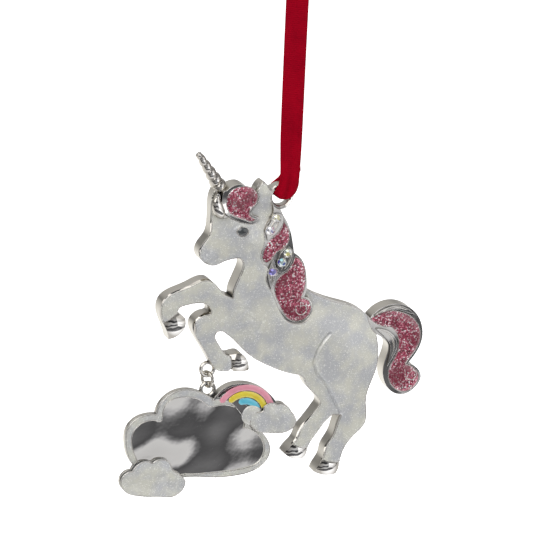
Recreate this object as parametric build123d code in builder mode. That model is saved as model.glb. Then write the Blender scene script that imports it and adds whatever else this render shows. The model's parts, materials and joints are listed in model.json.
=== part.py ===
from build123d import *
import math
import os

os.makedirs("parts", exist_ok=True)

# A hanging unicorn ornament: a zinc relief casting with enamel and crystals, a ribbon
# through its eye, and a cloud charm on a jump ring at the lower fore hoof.
# The figure lies in the XZ plane and faces -Y. Outline points are shares of the
# figure's height, measured from the hanging eye's centre, x to the right and z up.

# Driving sizes of the figure, in millimetres
FIGURE_HEIGHT = 88.7
EYE_DROP = 64.0
BACK_DEPTH = -1.7
METAL_DEPTH = 1.35
ENAMEL_SKIN = 0.35
RELIEF_ROOT = 0.5
RELIEF_LIMIT = 8.0
MANE_DEPTH = 3.1
FORELOCK_DEPTH = 3.3
TAIL_DEPTH = 2.4
LOCK_RISE = 0.5
CELL_DEPTH = 0.9
INLAY_RECESS = 0.15
HOOF_STEP = 0.25

# Driving sizes of the hanging eye, the horn, the eye and the crystals
EYE_RING_INNER_RADIUS = 2.38
EYE_RING_WALL = 1.0
EYE_RING_DEPTH = 3.0
EYE_RING_BEVEL = 0.3
HORN_BASE_RADIUS = 1.35
HORN_TIP_RADIUS = 0.3
HORN_TURNS = 7
HORN_SIDES = 10
HORN_RIDGE_RADIUS = 0.42
HORN_TILT = 24
EYE_HALF_WIDTH = 1.42
EYE_HALF_HEIGHT = 1.11
EYE_RECESS_DEPTH = 0.5
EYE_PROUD = 0.2
CRYSTAL_RADIUS = 1.12
CRYSTAL_TABLE_RADIUS = 0.62
CRYSTAL_CROWN = 0.5
CRYSTAL_FACETS = 8
CRYSTAL_SEAT_DEPTH = 0.6
CRYSTAL_CLEARANCE = 0.03
CRYSTAL_COLLAR = 0.3

# Driving sizes of the loops and the jump ring
LOOP_HOLE_RADIUS = 1.3
LOOP_WALL = 0.9
LOOP_DEPTH = 1.0
LOOP_BEVEL = 0.28
RING_WIRE = 0.87
RING_WIRE_SIDES = 12
RING_INNER_RADIUS = 1.48
RING_YAW = 25
RING_GAP_ANGLE = 3
RUNNING_CLEARANCE = 0.1

# Driving sizes of the charm
CHARM_WIDTH = 47.3
CHARM_BACK_DEPTH = -0.7
LEFT_CLOUD_BACK_DEPTH = 0.0
RAINBOW_BACK_DEPTH = -1.2
CHARM_METAL_DEPTH = 0.6
CHARM_PLATE_DEPTH = 0.95
CHARM_BORDER_ENAMEL = 0.5
CHARM_BORDER_RUNS = 2
CLOUD_DEPTH = 1.0
CLOUD_SKIN = 0.35
RAINBOW_DEPTH = 1.3
RAINBOW_CELL_DEPTH = 0.5
RAINBOW_RECESS = 0.1

# Driving sizes of the ribbon
RIBBON_WIDTH = 6.0
RIBBON_THICKNESS = 0.3
RIBBON_LEAN = 3.0
RIBBON_RING_CLEARANCE = 0.25
RIBBON_BUNCH_BOTTOM = 0.7
RIBBON_CENTRE = 2.1
RIBBON_STRAND_GAP = 0.5
KNOT_WIDTH = 8.4
KNOT_HEIGHT = 5.2
KNOT_BEVEL = 1.5
KNOT_TAIL = 9.0
KNOT_TAIL_SPLAY = 14

# The ring's seat in the casting, the horn's taper and the head's height under the eye
EYE_RING_SEAT = 0.3
HORN_RIDGE_TAPER = 0.75
EYE_RELIEF = 1.7

EYE_X = -(RIBBON_CENTRE + EYE_DROP * math.tan(math.radians(RIBBON_LEAN)))
EYE_Z = -EYE_DROP
ENAMEL_DEPTH = METAL_DEPTH + ENAMEL_SKIN
HOOF_DEPTH = ENAMEL_DEPTH + HOOF_STEP
EYE_RING_OUTER_RADIUS = EYE_RING_INNER_RADIUS + EYE_RING_WALL
EYE_INLAY_DEPTH = ENAMEL_DEPTH + EYE_RELIEF + EYE_PROUD
LOCK_DEPTH = MANE_DEPTH + LOCK_RISE
CRYSTAL_SEAT = LOCK_DEPTH - CRYSTAL_SEAT_DEPTH

# Figure outline, in stretches that meet at corners
HEAD_SHARES = [(-0.199, 0.040), (-0.210, 0.003), (-0.211, -0.030), (-0.213, -0.060), (-0.220, -0.088),
               (-0.236, -0.108), (-0.249, -0.132), (-0.247, -0.152), (-0.226, -0.171), (-0.205, -0.1755),
               (-0.177, -0.1665), (-0.148, -0.1615), (-0.130, -0.163), (-0.123, -0.172), (-0.128, -0.206),
               (-0.140, -0.231), (-0.153, -0.276)]
RAISED_LEG_TOP_SHARES = [(-0.165, -0.271), (-0.197, -0.240), (-0.222, -0.2175), (-0.247, -0.218),
                         (-0.281, -0.231), (-0.324, -0.244), (-0.355, -0.263), (-0.366, -0.296),
                         (-0.358, -0.332), (-0.342, -0.382)]
RAISED_HOOF_SOLE_SHARES = [(-0.342, -0.382), (-0.314, -0.3685), (-0.2945, -0.343), (-0.293, -0.329)]
RAISED_LEG_UNDER_SHARES = [(-0.293, -0.329), (-0.303, -0.314), (-0.316, -0.299), (-0.310, -0.290),
                           (-0.295, -0.285), (-0.261, -0.281), (-0.234, -0.286), (-0.222, -0.298),
                           (-0.220, -0.316)]
LOWER_LEG_FRONT_SHARES = [(-0.228, -0.318), (-0.253, -0.326), (-0.268, -0.345), (-0.268, -0.364),
                          (-0.251, -0.402), (-0.228, -0.444), (-0.210, -0.478), (-0.200, -0.490)]
LOWER_SOLE_SHARES = [(-0.187, -0.493), (-0.150, -0.498), (-0.102, -0.501)]
LOWER_LEG_BACK_SHARES = [(-0.102, -0.501), (-0.107, -0.479), (-0.116, -0.458), (-0.125, -0.450),
                         (-0.146, -0.448), (-0.162, -0.450), (-0.179, -0.438), (-0.194, -0.413),
                         (-0.206, -0.387), (-0.203, -0.374), (-0.194, -0.3706)]
BELLY_SHARES = [(-0.184, -0.373), (-0.162, -0.392), (-0.137, -0.417), (-0.105, -0.453), (-0.0495, -0.492),
                (-0.001, -0.5175), (0.051, -0.5355)]
FAR_LEG_FRONT_SHARES = [(0.066, -0.548), (0.076, -0.574), (0.106, -0.609), (0.114, -0.624), (0.102, -0.646),
                        (0.074, -0.679), (0.054, -0.703), (0.041, -0.731), (0.021, -0.751), (0.006, -0.770)]
FAR_SOLE_SHARES = [(0.006, -0.770), (0.028, -0.7855), (0.0585, -0.790)]
FAR_LEG_BACK_SHARES = [(0.0585, -0.790), (0.0726, -0.7746), (0.079, -0.752), (0.102, -0.720),
                       (0.122, -0.694), (0.152, -0.667)]
NEAR_LEG_FRONT_SHARES = [(0.177, -0.670), (0.165, -0.7005), (0.154, -0.731), (0.130, -0.770), (0.123, -0.796),
                         (0.111, -0.814), (0.098, -0.838)]
NEAR_SOLE_SHARES = [(0.098, -0.838), (0.128, -0.8476), (0.161, -0.8487)]
NEAR_LEG_BACK_SHARES = [(0.161, -0.8487), (0.173, -0.825), (0.176, -0.805), (0.194, -0.762), (0.220, -0.733),
                        (0.250, -0.700), (0.2535, -0.663), (0.2524, -0.620), (0.270, -0.571),
                        (0.284, -0.538), (0.2905, -0.487), (0.2857, -0.439)]
TAIL_INSIDE_SHARES = [(0.2857, -0.439), (0.309, -0.455), (0.3237, -0.474), (0.322, -0.500), (0.311, -0.533),
                      (0.3085, -0.565), (0.316, -0.594), (0.335, -0.620), (0.376, -0.633), (0.413, -0.612),
                      (0.427, -0.585), (0.412, -0.555), (0.385, -0.5405)]
TAIL_OUTSIDE_SHARES = [(0.385, -0.5405), (0.412, -0.509), (0.4295, -0.470), (0.429, -0.432), (0.411, -0.391),
                       (0.378, -0.3635), (0.338, -0.354), (0.301, -0.3627), (0.268, -0.390)]
BACK_SHARES = [(0.268, -0.390), (0.227, -0.353), (0.175, -0.3316), (0.115, -0.306), (0.071, -0.275)]
MANE_LOWER_RIGHT_SHARES = [(0.071, -0.275), (0.070, -0.236), (0.059, -0.193), (0.032, -0.1645)]
MANE_UPPER_RIGHT_SHARES = [(0.032, -0.1645), (0.025, -0.115), (0.013, -0.074), (-0.004, -0.042),
                           (-0.010, -0.020)]
EAR_SHARES = [(-0.022, 0.030), (-0.040, 0.030), (-0.047, 0.044), (-0.053, 0.051), (-0.068, 0.043),
              (-0.078, 0.020)]
CROWN_SHARES = [(-0.082, 0.020), (-0.098, 0.035), (-0.123, 0.0535), (-0.149, 0.053), (-0.169, 0.041)]
FIGURE_STRETCH_SHARES = [HEAD_SHARES, RAISED_LEG_TOP_SHARES, RAISED_HOOF_SOLE_SHARES, RAISED_LEG_UNDER_SHARES,
                         LOWER_LEG_FRONT_SHARES, LOWER_SOLE_SHARES, LOWER_LEG_BACK_SHARES, BELLY_SHARES,
                         FAR_LEG_FRONT_SHARES, FAR_SOLE_SHARES, FAR_LEG_BACK_SHARES, NEAR_LEG_FRONT_SHARES,
                         NEAR_SOLE_SHARES, NEAR_LEG_BACK_SHARES, TAIL_INSIDE_SHARES, TAIL_OUTSIDE_SHARES,
                         BACK_SHARES, MANE_LOWER_RIGHT_SHARES, MANE_UPPER_RIGHT_SHARES, EAR_SHARES,
                         CROWN_SHARES]

# Relief masses: each section is a place, a half width and a rise, all shares of the height
RELIEF_SECTION_SHARES = {
    "torso": [(-0.150, -0.285, 0.070, 0.006), (-0.095, -0.335, 0.110, 0.020), (-0.015, -0.385, 0.122, 0.026),
              (0.075, -0.420, 0.122, 0.024), (0.155, -0.448, 0.115, 0.024), (0.235, -0.478, 0.085, 0.014),
              (0.290, -0.498, 0.050, 0.003)],
    "neck": [(-0.088, -0.070, 0.055, 0.006), (-0.085, -0.130, 0.058, 0.018), (-0.085, -0.200, 0.066, 0.024),
             (-0.095, -0.270, 0.085, 0.025), (-0.100, -0.340, 0.090, 0.017), (-0.100, -0.400, 0.080, 0.003)],
    "head": [(-0.060, -0.030, 0.066, 0.006), (-0.105, -0.066, 0.072, 0.018), (-0.160, -0.102, 0.070, 0.021),
             (-0.205, -0.128, 0.056, 0.019), (-0.245, -0.150, 0.040, 0.006)],
    "raised_forearm": [(-0.125, -0.320, 0.060, 0.006), (-0.165, -0.293, 0.052, 0.022),
                       (-0.205, -0.262, 0.044, 0.028), (-0.245, -0.245, 0.030, 0.016),
                       (-0.270, -0.240, 0.020, 0.003)],
    "raised_cannon": [(-0.215, -0.245, 0.026, 0.006), (-0.245, -0.249, 0.032, 0.021),
                      (-0.290, -0.261, 0.029, 0.017), (-0.332, -0.274, 0.029, 0.016),
                      (-0.360, -0.284, 0.022, 0.006)],
    "raised_pastern": [(-0.336, -0.252, 0.022, 0.006), (-0.342, -0.280, 0.029, 0.017),
                       (-0.339, -0.312, 0.027, 0.017), (-0.334, -0.338, 0.028, 0.014)],
    "lower_forearm": [(-0.115, -0.340, 0.060, 0.006), (-0.155, -0.342, 0.046, 0.022),
                      (-0.200, -0.347, 0.036, 0.028), (-0.240, -0.352, 0.033, 0.016),
                      (-0.266, -0.354, 0.022, 0.003)],
    "lower_cannon": [(-0.243, -0.322, 0.024, 0.006), (-0.240, -0.352, 0.032, 0.021),
                     (-0.230, -0.388, 0.029, 0.019), (-0.209, -0.430, 0.027, 0.017),
                     (-0.185, -0.465, 0.029, 0.017), (-0.160, -0.490, 0.028, 0.008)],
    "far_leg": [(0.105, -0.540, 0.060, 0.006), (0.128, -0.590, 0.052, 0.012), (0.132, -0.635, 0.043, 0.015),
                (0.104, -0.683, 0.032, 0.015), (0.074, -0.725, 0.027, 0.014), (0.050, -0.760, 0.026, 0.010)],
    "thigh": [(0.205, -0.385, 0.080, 0.006), (0.190, -0.440, 0.104, 0.028), (0.192, -0.505, 0.104, 0.036),
              (0.200, -0.570, 0.084, 0.033), (0.212, -0.630, 0.052, 0.026), (0.215, -0.680, 0.044, 0.022),
              (0.212, -0.720, 0.034, 0.006)],
    "near_cannon": [(0.216, -0.645, 0.042, 0.006), (0.210, -0.690, 0.044, 0.023), (0.187, -0.730, 0.037, 0.020),
                    (0.163, -0.768, 0.032, 0.017), (0.145, -0.805, 0.030, 0.016), (0.132, -0.835, 0.030, 0.010)],
    "ear": [(-0.062, -0.012, 0.024, 0.006), (-0.061, 0.012, 0.021, 0.021), (-0.058, 0.032, 0.014, 0.018),
            (-0.053, 0.050, 0.006, 0.006)],
}
# Rounded masses: a place, a radius and a rise
CAP_SHARES = {
    "cheek": (-0.108, -0.118, 0.052, 0.030),
    "muzzle": (-0.222, -0.146, 0.034, 0.023),
    "chest": (-0.130, -0.305, 0.062, 0.029),
    "raised_knee": (-0.236, -0.247, 0.032, 0.025),
    "lower_knee": (-0.238, -0.350, 0.033, 0.025),
    "raised_fetlock": (-0.342, -0.283, 0.029, 0.021),
    "lower_fetlock": (-0.180, -0.470, 0.030, 0.021),
    "hock": (0.213, -0.690, 0.044, 0.027),
    "near_fetlock": (0.147, -0.792, 0.031, 0.021),
    "far_fetlock": (0.056, -0.752, 0.027, 0.017),
}

# Hooves: the coronet line, then a cap of its place, radius and rise
RAISED_CORONET_SHARES = [(-0.375, -0.331), (-0.340, -0.320), (-0.312, -0.303), (-0.290, -0.300)]
RAISED_HOOF_CORNER_SHARES = [(-0.270, -0.320), (-0.280, -0.400), (-0.360, -0.400)]
LOWER_CORONET_SHARES = [(-0.164, -0.435), (-0.159, -0.455), (-0.155, -0.475), (-0.149, -0.510)]
LOWER_HOOF_CORNER_SHARES = [(-0.090, -0.510), (-0.090, -0.435)]
FAR_CORONET_SHARES = [(0.015, -0.738), (0.040, -0.750), (0.063, -0.759), (0.090, -0.757)]
FAR_HOOF_CORNER_SHARES = [(0.090, -0.800), (-0.005, -0.800)]
NEAR_CORONET_SHARES = [(0.105, -0.790), (0.128, -0.805), (0.155, -0.815), (0.185, -0.811)]
NEAR_HOOF_CORNER_SHARES = [(0.185, -0.860), (0.085, -0.860)]
HOOF_SHARES = {
    "raised": (RAISED_CORONET_SHARES, RAISED_HOOF_CORNER_SHARES, (-0.322, -0.344, 0.046, 0.020)),
    "lower": (LOWER_CORONET_SHARES, LOWER_HOOF_CORNER_SHARES, (-0.130, -0.478, 0.040, 0.020)),
    "far": (FAR_CORONET_SHARES, FAR_HOOF_CORNER_SHARES, (0.044, -0.770, 0.040, 0.014)),
    "near": (NEAR_CORONET_SHARES, NEAR_HOOF_CORNER_SHARES, (0.138, -0.828, 0.044, 0.020)),
}

# Mane, forelock and tail regions: each runs out past the figure's edge, which then cuts it
MANE_REGION_SHARES = [
    [(0.071, -0.275), (0.095, -0.265)],
    [(0.095, -0.150), (0.020, 0.000)],
    [(-0.034, -0.010), (-0.040, -0.058), (-0.057, -0.085), (-0.057, -0.120), (-0.067, -0.150),
     (-0.066, -0.178), (-0.055, -0.190)],
    [(-0.055, -0.190), (-0.048, -0.200), (-0.053, -0.225), (-0.045, -0.257), (-0.036, -0.273)],
    [(-0.036, -0.273), (-0.027, -0.292), (-0.018, -0.317), (-0.006, -0.343), (0.014, -0.367),
     (0.038, -0.375), (0.063, -0.372), (0.085, -0.348), (0.087, -0.328), (0.078, -0.307), (0.063, -0.299)],
]
FORELOCK_REGION_SHARES = [
    [(-0.080, 0.030), (-0.080, 0.080)],
    [(-0.172, 0.080), (-0.174, 0.045)],
    [(-0.180, 0.035), (-0.184, 0.010), (-0.176, -0.022), (-0.155, -0.042), (-0.116, -0.060),
     (-0.084, -0.063), (-0.073, -0.050)],
    [(-0.073, -0.050), (-0.088, -0.042), (-0.099, -0.034), (-0.093, -0.020), (-0.080, -0.008),
     (-0.074, 0.010), (-0.080, 0.030)],
]
TAIL_REGION_SHARES = [
    [(0.262, -0.392), (0.262, -0.340)],
    [(0.450, -0.340), (0.450, -0.650)],
    [(0.300, -0.650), (0.300, -0.500)],
    [(0.297, -0.462), (0.2857, -0.437)],
    [(0.2857, -0.437), (0.272, -0.420)],
]
FORELOCK_CELL_SHARES = [
    [(-0.080, -0.052), (-0.092, -0.046), (-0.102, -0.036), (-0.098, -0.020), (-0.085, -0.008),
     (-0.077, 0.010), (-0.087, 0.036), (-0.124, 0.049), (-0.161, 0.036), (-0.172, 0.004),
     (-0.163, -0.024), (-0.130, -0.045), (-0.104, -0.0575)],
    [(-0.104, -0.0575), (-0.088, -0.057), (-0.080, -0.052)],
]
UPPER_MANE_CELL_SHARES = [
    [(0.001, -0.062), (0.012, -0.084), (0.0185, -0.105), (0.015, -0.130), (-0.004, -0.150),
     (-0.0205, -0.157), (-0.031, -0.170), (-0.050, -0.186)],
    [(-0.050, -0.186), (-0.062, -0.178), (-0.063, -0.159), (-0.054, -0.137), (-0.039, -0.116),
     (-0.0205, -0.102), (-0.005, -0.080), (0.001, -0.062)],
]
LOWER_MANE_CELL_SHARES = [
    [(0.036, -0.174), (0.056, -0.192), (0.067, -0.230), (0.065, -0.270), (0.053, -0.301)],
    [(0.053, -0.301), (0.077, -0.312), (0.084, -0.335), (0.071, -0.361), (0.040, -0.370),
     (0.014, -0.359), (-0.001, -0.340), (-0.016, -0.308), (-0.028, -0.268), (-0.014, -0.232),
     (0.012, -0.214), (0.029, -0.190), (0.036, -0.174)],
]
TAIL_CELL_SHARES = [
    [(0.2665, -0.392), (0.290, -0.379), (0.322, -0.372), (0.356, -0.378), (0.3995, -0.402),
     (0.421, -0.436), (0.423, -0.475), (0.405, -0.508), (0.377, -0.541)],
    [(0.377, -0.541), (0.405, -0.556), (0.421, -0.585), (0.408, -0.610), (0.376, -0.626),
     (0.345, -0.612), (0.326, -0.582), (0.329, -0.545), (0.350, -0.507), (0.3555, -0.470),
     (0.332, -0.424)],
    [(0.332, -0.424), (0.300, -0.416), (0.2665, -0.392)],
]
# Raised locks beside the cells: crescents between two curves
CREST_LOCK_SHARES = [
    [(-0.196, 0.035), (-0.205, 0.012), (-0.202, -0.014), (-0.188, -0.033), (-0.168, -0.037)],
    [(-0.168, -0.037), (-0.184, -0.012), (-0.190, 0.012), (-0.190, 0.030), (-0.196, 0.035)],
]
CROWN_LOCK_SHARES = [
    [(-0.006, -0.048), (-0.004, -0.062), (-0.015, -0.087), (-0.033, -0.104), (-0.047, -0.119)],
    [(-0.047, -0.119), (-0.0525, -0.100), (-0.049, -0.080), (-0.036, -0.058), (-0.028, -0.046),
     (-0.006, -0.048)],
]
MIDDLE_LOCK_SHARES = [
    [(0.017, -0.143), (0.025, -0.155), (0.027, -0.172), (0.019, -0.197), (-0.002, -0.218)],
    [(-0.002, -0.218), (-0.015, -0.215), (-0.019, -0.190), (-0.014, -0.166), (0.017, -0.143)],
]
INNER_LOCK_SHARES = [
    [(-0.032, -0.176), (-0.025, -0.200), (-0.026, -0.230), (-0.034, -0.256), (-0.038, -0.264)],
    [(-0.038, -0.264), (-0.046, -0.240), (-0.0485, -0.218), (-0.043, -0.196), (-0.032, -0.176)],
]
TAIL_TOP_LOCK_SHARES = [
    [(0.280, -0.382), (0.303, -0.3675), (0.340, -0.3590), (0.376, -0.3685), (0.403, -0.3915)],
    [(0.403, -0.3915), (0.376, -0.3805), (0.350, -0.3705), (0.318, -0.3680), (0.280, -0.382)],
]
TAIL_INNER_LOCK_SHARES = [
    [(0.284, -0.421), (0.318, -0.431), (0.341, -0.451), (0.350, -0.476), (0.340, -0.508), (0.320, -0.540)],
    [(0.320, -0.540), (0.327, -0.505), (0.329, -0.478), (0.317, -0.455), (0.284, -0.421)],
]
# The ribbon's edge where it folds through the ring, in shares of its width
RIBBON_FOLD_SHARES = [(-0.060, 1.100), (-0.020, 0.900), (-0.200, 0.500), (-0.430, 0.230), (-0.200, 0.000),
                      (0.060, -0.100), (0.330, -0.117), (0.600, 0.060), (0.710, 0.430), (0.770, 0.820)]
EYE_INLAY_SHARE = (-0.124, -0.082)
CRYSTAL_PLACE_SHARES = [(-0.0225, -0.0565), (-0.041, -0.089), (0.0115, -0.1605), (-0.006, -0.187), (-0.034, -0.213)]
HORN_ROOT_SHARE = (-0.176, 0.038)
HORN_TIP_SHARE = (-0.2415, 0.1465)
LEG_LOOP_SHARE = (-0.2178, -0.4939)

# The charm's outlines are shares of the figure height that the charm was drawn to
CHARM_WIDTH_SHARE = 0.533
CHARM_LOOP_SHARE = (-0.2199, -0.5503)
BIG_CLOUD_SHARES = [
    [(-0.449, -0.748), (-0.465, -0.717), (-0.471, -0.677), (-0.465, -0.638), (-0.443, -0.613),
     (-0.401, -0.601), (-0.378, -0.603)],
    [(-0.378, -0.603), (-0.357, -0.563), (-0.324, -0.543), (-0.280, -0.540), (-0.236, -0.557),
     (-0.208, -0.576)],
    [(-0.208, -0.576), (-0.180, -0.5776), (-0.150, -0.585), (-0.127, -0.599), (-0.108, -0.625),
     (-0.103, -0.660)],
    [(-0.103, -0.660), (-0.078, -0.678), (-0.055, -0.702), (-0.036, -0.738), (-0.035, -0.762),
     (-0.050, -0.790), (-0.086, -0.812), (-0.146, -0.820), (-0.200, -0.818), (-0.250, -0.810),
     (-0.300, -0.805)],
    [(-0.300, -0.805), (-0.400, -0.790), (-0.449, -0.748)],
]
PLATE_SHARES = [
    [(-0.430, -0.745), (-0.448, -0.6995), (-0.447, -0.651), (-0.424, -0.628), (-0.381, -0.6225)],
    [(-0.381, -0.6225), (-0.364, -0.627), (-0.355, -0.594), (-0.333, -0.568), (-0.291, -0.563),
     (-0.252, -0.574), (-0.232, -0.589)],
    [(-0.232, -0.589), (-0.201, -0.602), (-0.182, -0.600), (-0.150, -0.608), (-0.120, -0.629),
     (-0.113, -0.657), (-0.117, -0.678)],
    [(-0.117, -0.678), (-0.0865, -0.691), (-0.061, -0.720), (-0.054, -0.754), (-0.070, -0.784),
     (-0.105, -0.798), (-0.160, -0.801), (-0.224, -0.800), (-0.258, -0.7985), (-0.291, -0.794)],
    [(-0.291, -0.794), (-0.380, -0.780), (-0.430, -0.745)],
]
LEFT_CLOUD_SHARES = [
    [(-0.455, -0.762), (-0.480, -0.771), (-0.490, -0.793), (-0.478, -0.821), (-0.434, -0.841),
     (-0.377, -0.851), (-0.335, -0.8565), (-0.308, -0.841), (-0.2955, -0.812)],
    [(-0.2955, -0.812), (-0.313, -0.790), (-0.335, -0.770), (-0.342, -0.750), (-0.365, -0.737),
     (-0.394, -0.7446)],
    [(-0.394, -0.7446), (-0.414, -0.737), (-0.443, -0.746), (-0.455, -0.762)],
]
RIGHT_CLOUD_SHARES = [
    [(-0.057, -0.617), (-0.036, -0.608), (-0.015, -0.616)],
    [(-0.015, -0.616), (0.010, -0.620), (0.026, -0.640)],
    [(0.026, -0.640), (0.040, -0.661), (0.043, -0.684), (0.020, -0.700), (-0.010, -0.703),
     (-0.040, -0.699), (-0.075, -0.690), (-0.095, -0.672)],
    [(-0.095, -0.672), (-0.098, -0.650), (-0.085, -0.633), (-0.062, -0.630), (-0.057, -0.617)],
]
RAINBOW_GROUND_SHARES = [
    [(-0.210, -0.582), (-0.190, -0.560), (-0.158, -0.543), (-0.125, -0.540), (-0.086, -0.549),
     (-0.038, -0.581), (-0.018, -0.607)],
    [(-0.018, -0.607), (-0.040, -0.650), (-0.100, -0.655), (-0.140, -0.610), (-0.210, -0.582)],
]
PINK_BAND_SHARES = [
    [(-0.196, -0.572), (-0.175, -0.556), (-0.141, -0.546), (-0.103, -0.549), (-0.070, -0.564),
     (-0.042, -0.586), (-0.028, -0.604)],
    [(-0.028, -0.604), (-0.037, -0.604)],
    [(-0.037, -0.604), (-0.065, -0.579), (-0.101, -0.560), (-0.141, -0.557), (-0.175, -0.566),
     (-0.186, -0.575)],
    [(-0.186, -0.575), (-0.196, -0.572)],
]
YELLOW_BAND_SHARES = [
    [(-0.165, -0.577), (-0.141, -0.566), (-0.116, -0.565), (-0.082, -0.577), (-0.055, -0.596),
     (-0.044, -0.604)],
    [(-0.044, -0.604), (-0.058, -0.611)],
    [(-0.058, -0.611), (-0.080, -0.600), (-0.112, -0.586), (-0.141, -0.5855), (-0.156, -0.583)],
    [(-0.156, -0.583), (-0.165, -0.577)],
]
BLUE_BAND_SHARES = [
    [(-0.128, -0.592), (-0.110, -0.591), (-0.086, -0.602), (-0.066, -0.613)],
    [(-0.066, -0.613), (-0.068, -0.624)],
    [(-0.068, -0.624), (-0.085, -0.623), (-0.105, -0.611), (-0.128, -0.592)],
]
LEFT_CLOUD_CAP_SHARES = [(-0.452, -0.797, 0.045, 0.014), (-0.425, -0.772, 0.042, 0.016),
                         (-0.372, -0.780, 0.050, 0.018), (-0.330, -0.815, 0.045, 0.015),
                         (-0.400, -0.812, 0.050, 0.016)]
RIGHT_CLOUD_CAP_SHARES = [(-0.037, -0.640, 0.034, 0.014), (0.002, -0.655, 0.038, 0.015),
                          (-0.060, -0.668, 0.038, 0.013), (-0.010, -0.678, 0.042, 0.013)]

HAIR_REGION_SHARES = [MANE_REGION_SHARES, FORELOCK_REGION_SHARES, TAIL_REGION_SHARES]

# Places worked out from the sizes
LEG_LOOP_X = EYE_X + LEG_LOOP_SHARE[0] * FIGURE_HEIGHT
LEG_LOOP_Z = EYE_Z + LEG_LOOP_SHARE[1] * FIGURE_HEIGHT
RING_MEAN_RADIUS = RING_INNER_RADIUS + RING_WIRE / 2
RING_TOP_Z = LEG_LOOP_Z - LOOP_HOLE_RADIUS + RUNNING_CLEARANCE + RING_WIRE / 2
RING_Z = RING_TOP_Z - RING_MEAN_RADIUS
CHARM_HOLE_TOP_Z = RING_Z - RING_INNER_RADIUS + RUNNING_CLEARANCE
CHARM_LOOP_X = LEG_LOOP_X
CHARM_LOOP_Z = CHARM_HOLE_TOP_Z - LOOP_HOLE_RADIUS
CHARM_UNIT = CHARM_WIDTH / CHARM_WIDTH_SHARE


def figure_point(share):
    """Place of one outline share on the figure, across and up."""
    return (share[0] * FIGURE_HEIGHT, share[1] * FIGURE_HEIGHT)


def charm_point(share):
    """Place of one outline share on the charm, measured from the hanging eye."""
    across = CHARM_LOOP_X - EYE_X + (share[0] - CHARM_LOOP_SHARE[0]) * CHARM_UNIT
    up = CHARM_LOOP_Z - EYE_Z + (share[1] - CHARM_LOOP_SHARE[1]) * CHARM_UNIT
    return (across, up)


def face_plane(depth):
    """Plane parallel to the figure, depth in front of its middle, facing the viewer."""
    return Plane(origin=(EYE_X, -depth, EYE_Z), x_dir=(1, 0, 0), z_dir=(0, -1, 0))


def outline(stretches, depth, point):
    """Closed face of curved stretches, joined corner to corner."""
    with BuildSketch(face_plane(depth)) as profile:
        with BuildLine():
            for index, stretch in enumerate(stretches):
                places = [point(share) for share in stretch]
                if len(places) == 2:
                    Line(*places)
                else:
                    Spline(*places)
                following = point(stretches[(index + 1) % len(stretches)][0])
                if math.dist(places[-1], following) > 0:
                    Line(places[-1], following)
        make_face()
    return profile.sketch


def slab(stretches, rear_depth, front_depth, point=figure_point, mode=Mode.ADD):
    """Plate of the outline between two depths."""
    extrude(outline(stretches, rear_depth, point), amount=front_depth - rear_depth, mode=mode)


def mass_sections(sections, base_depth, point, unit):
    """Arched sections along a mass, each square to the way it runs."""
    profiles = []
    for index, (x, z, half_share, rise_share) in enumerate(sections):
        before = sections[max(index - 1, 0)]
        after = sections[min(index + 1, len(sections) - 1)]
        way = Vector(after[0] - before[0], 0, after[1] - before[1]).normalized()
        across, up = point((x, z))
        half = half_share * unit
        rise = rise_share * unit
        station = Plane(origin=(EYE_X + across, -base_depth, EYE_Z + up), x_dir=(-way.Z, 0, way.X), z_dir=way)
        with BuildSketch(station) as profile:
            with BuildLine():
                ThreePointArc((-half, 0), (0, rise), (half, 0))
                Polyline((half, 0), (half, -RELIEF_ROOT), (-half, -RELIEF_ROOT), (-half, 0))
            make_face()
        profiles.append(profile.sketch)
    return profiles


def cap_ball(cap, base_depth, point, unit):
    """Ball whose cap stands above the base by its rise over its radius."""
    x, z, radius_share, rise_share = cap
    across, up = point((x, z))
    radius = radius_share * unit
    rise = rise_share * unit
    ball_radius = (radius ** 2 + rise ** 2) / (2 * rise)
    with Locations((EYE_X + across, -(base_depth + rise - ball_radius), EYE_Z + up)):
        Sphere(ball_radius)


def finish(piece, name):
    """Label and write one piece."""
    piece.label = name
    export_step(piece, "parts/" + name + ".step")
    print(name, "solids", len(piece.solids()), "volume", round(piece.volume, 2))


def wall_ring(x, z, hole_radius, wall, depth, corner):
    """Cast ring: a bevelled wall section turned about the ring's own axis, which runs along Y."""
    with BuildSketch(Plane(origin=(x, 0, z), x_dir=(1, 0, 0), z_dir=(0, 0, 1))) as section:
        with Locations((hole_radius + wall / 2, 0)):
            Rectangle(wall, depth)
        chamfer(section.vertices(), corner)
    revolve(section.sketch, axis=Axis((x, 0, z), (0, 1, 0)))


def hair_regions(front_depths, mode=Mode.ADD):
    """Mane, forelock and tail blocks, each up to its own depth."""
    for region, front_depth in zip(HAIR_REGION_SHARES, front_depths):
        slab(region, METAL_DEPTH - RELIEF_ROOT, front_depth, mode=mode)


def largest(part):
    """The part's main solid, without the specks that the cuts leave at its edges."""
    return part.solids().sort_by(SortBy.VOLUME)[-1]


# Hoof regions: from each coronet line out past the sole
with BuildPart() as hoof_regions:
    for coronet, corners, cap in HOOF_SHARES.values():
        slab([coronet, corners], METAL_DEPTH - RELIEF_ROOT, RELIEF_LIMIT)

# Clearing round the hanging eye, where only its ring stands
with BuildSketch(face_plane(BACK_DEPTH)) as eye_clearing:
    Circle(EYE_RING_OUTER_RADIUS - EYE_RING_SEAT)

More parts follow.
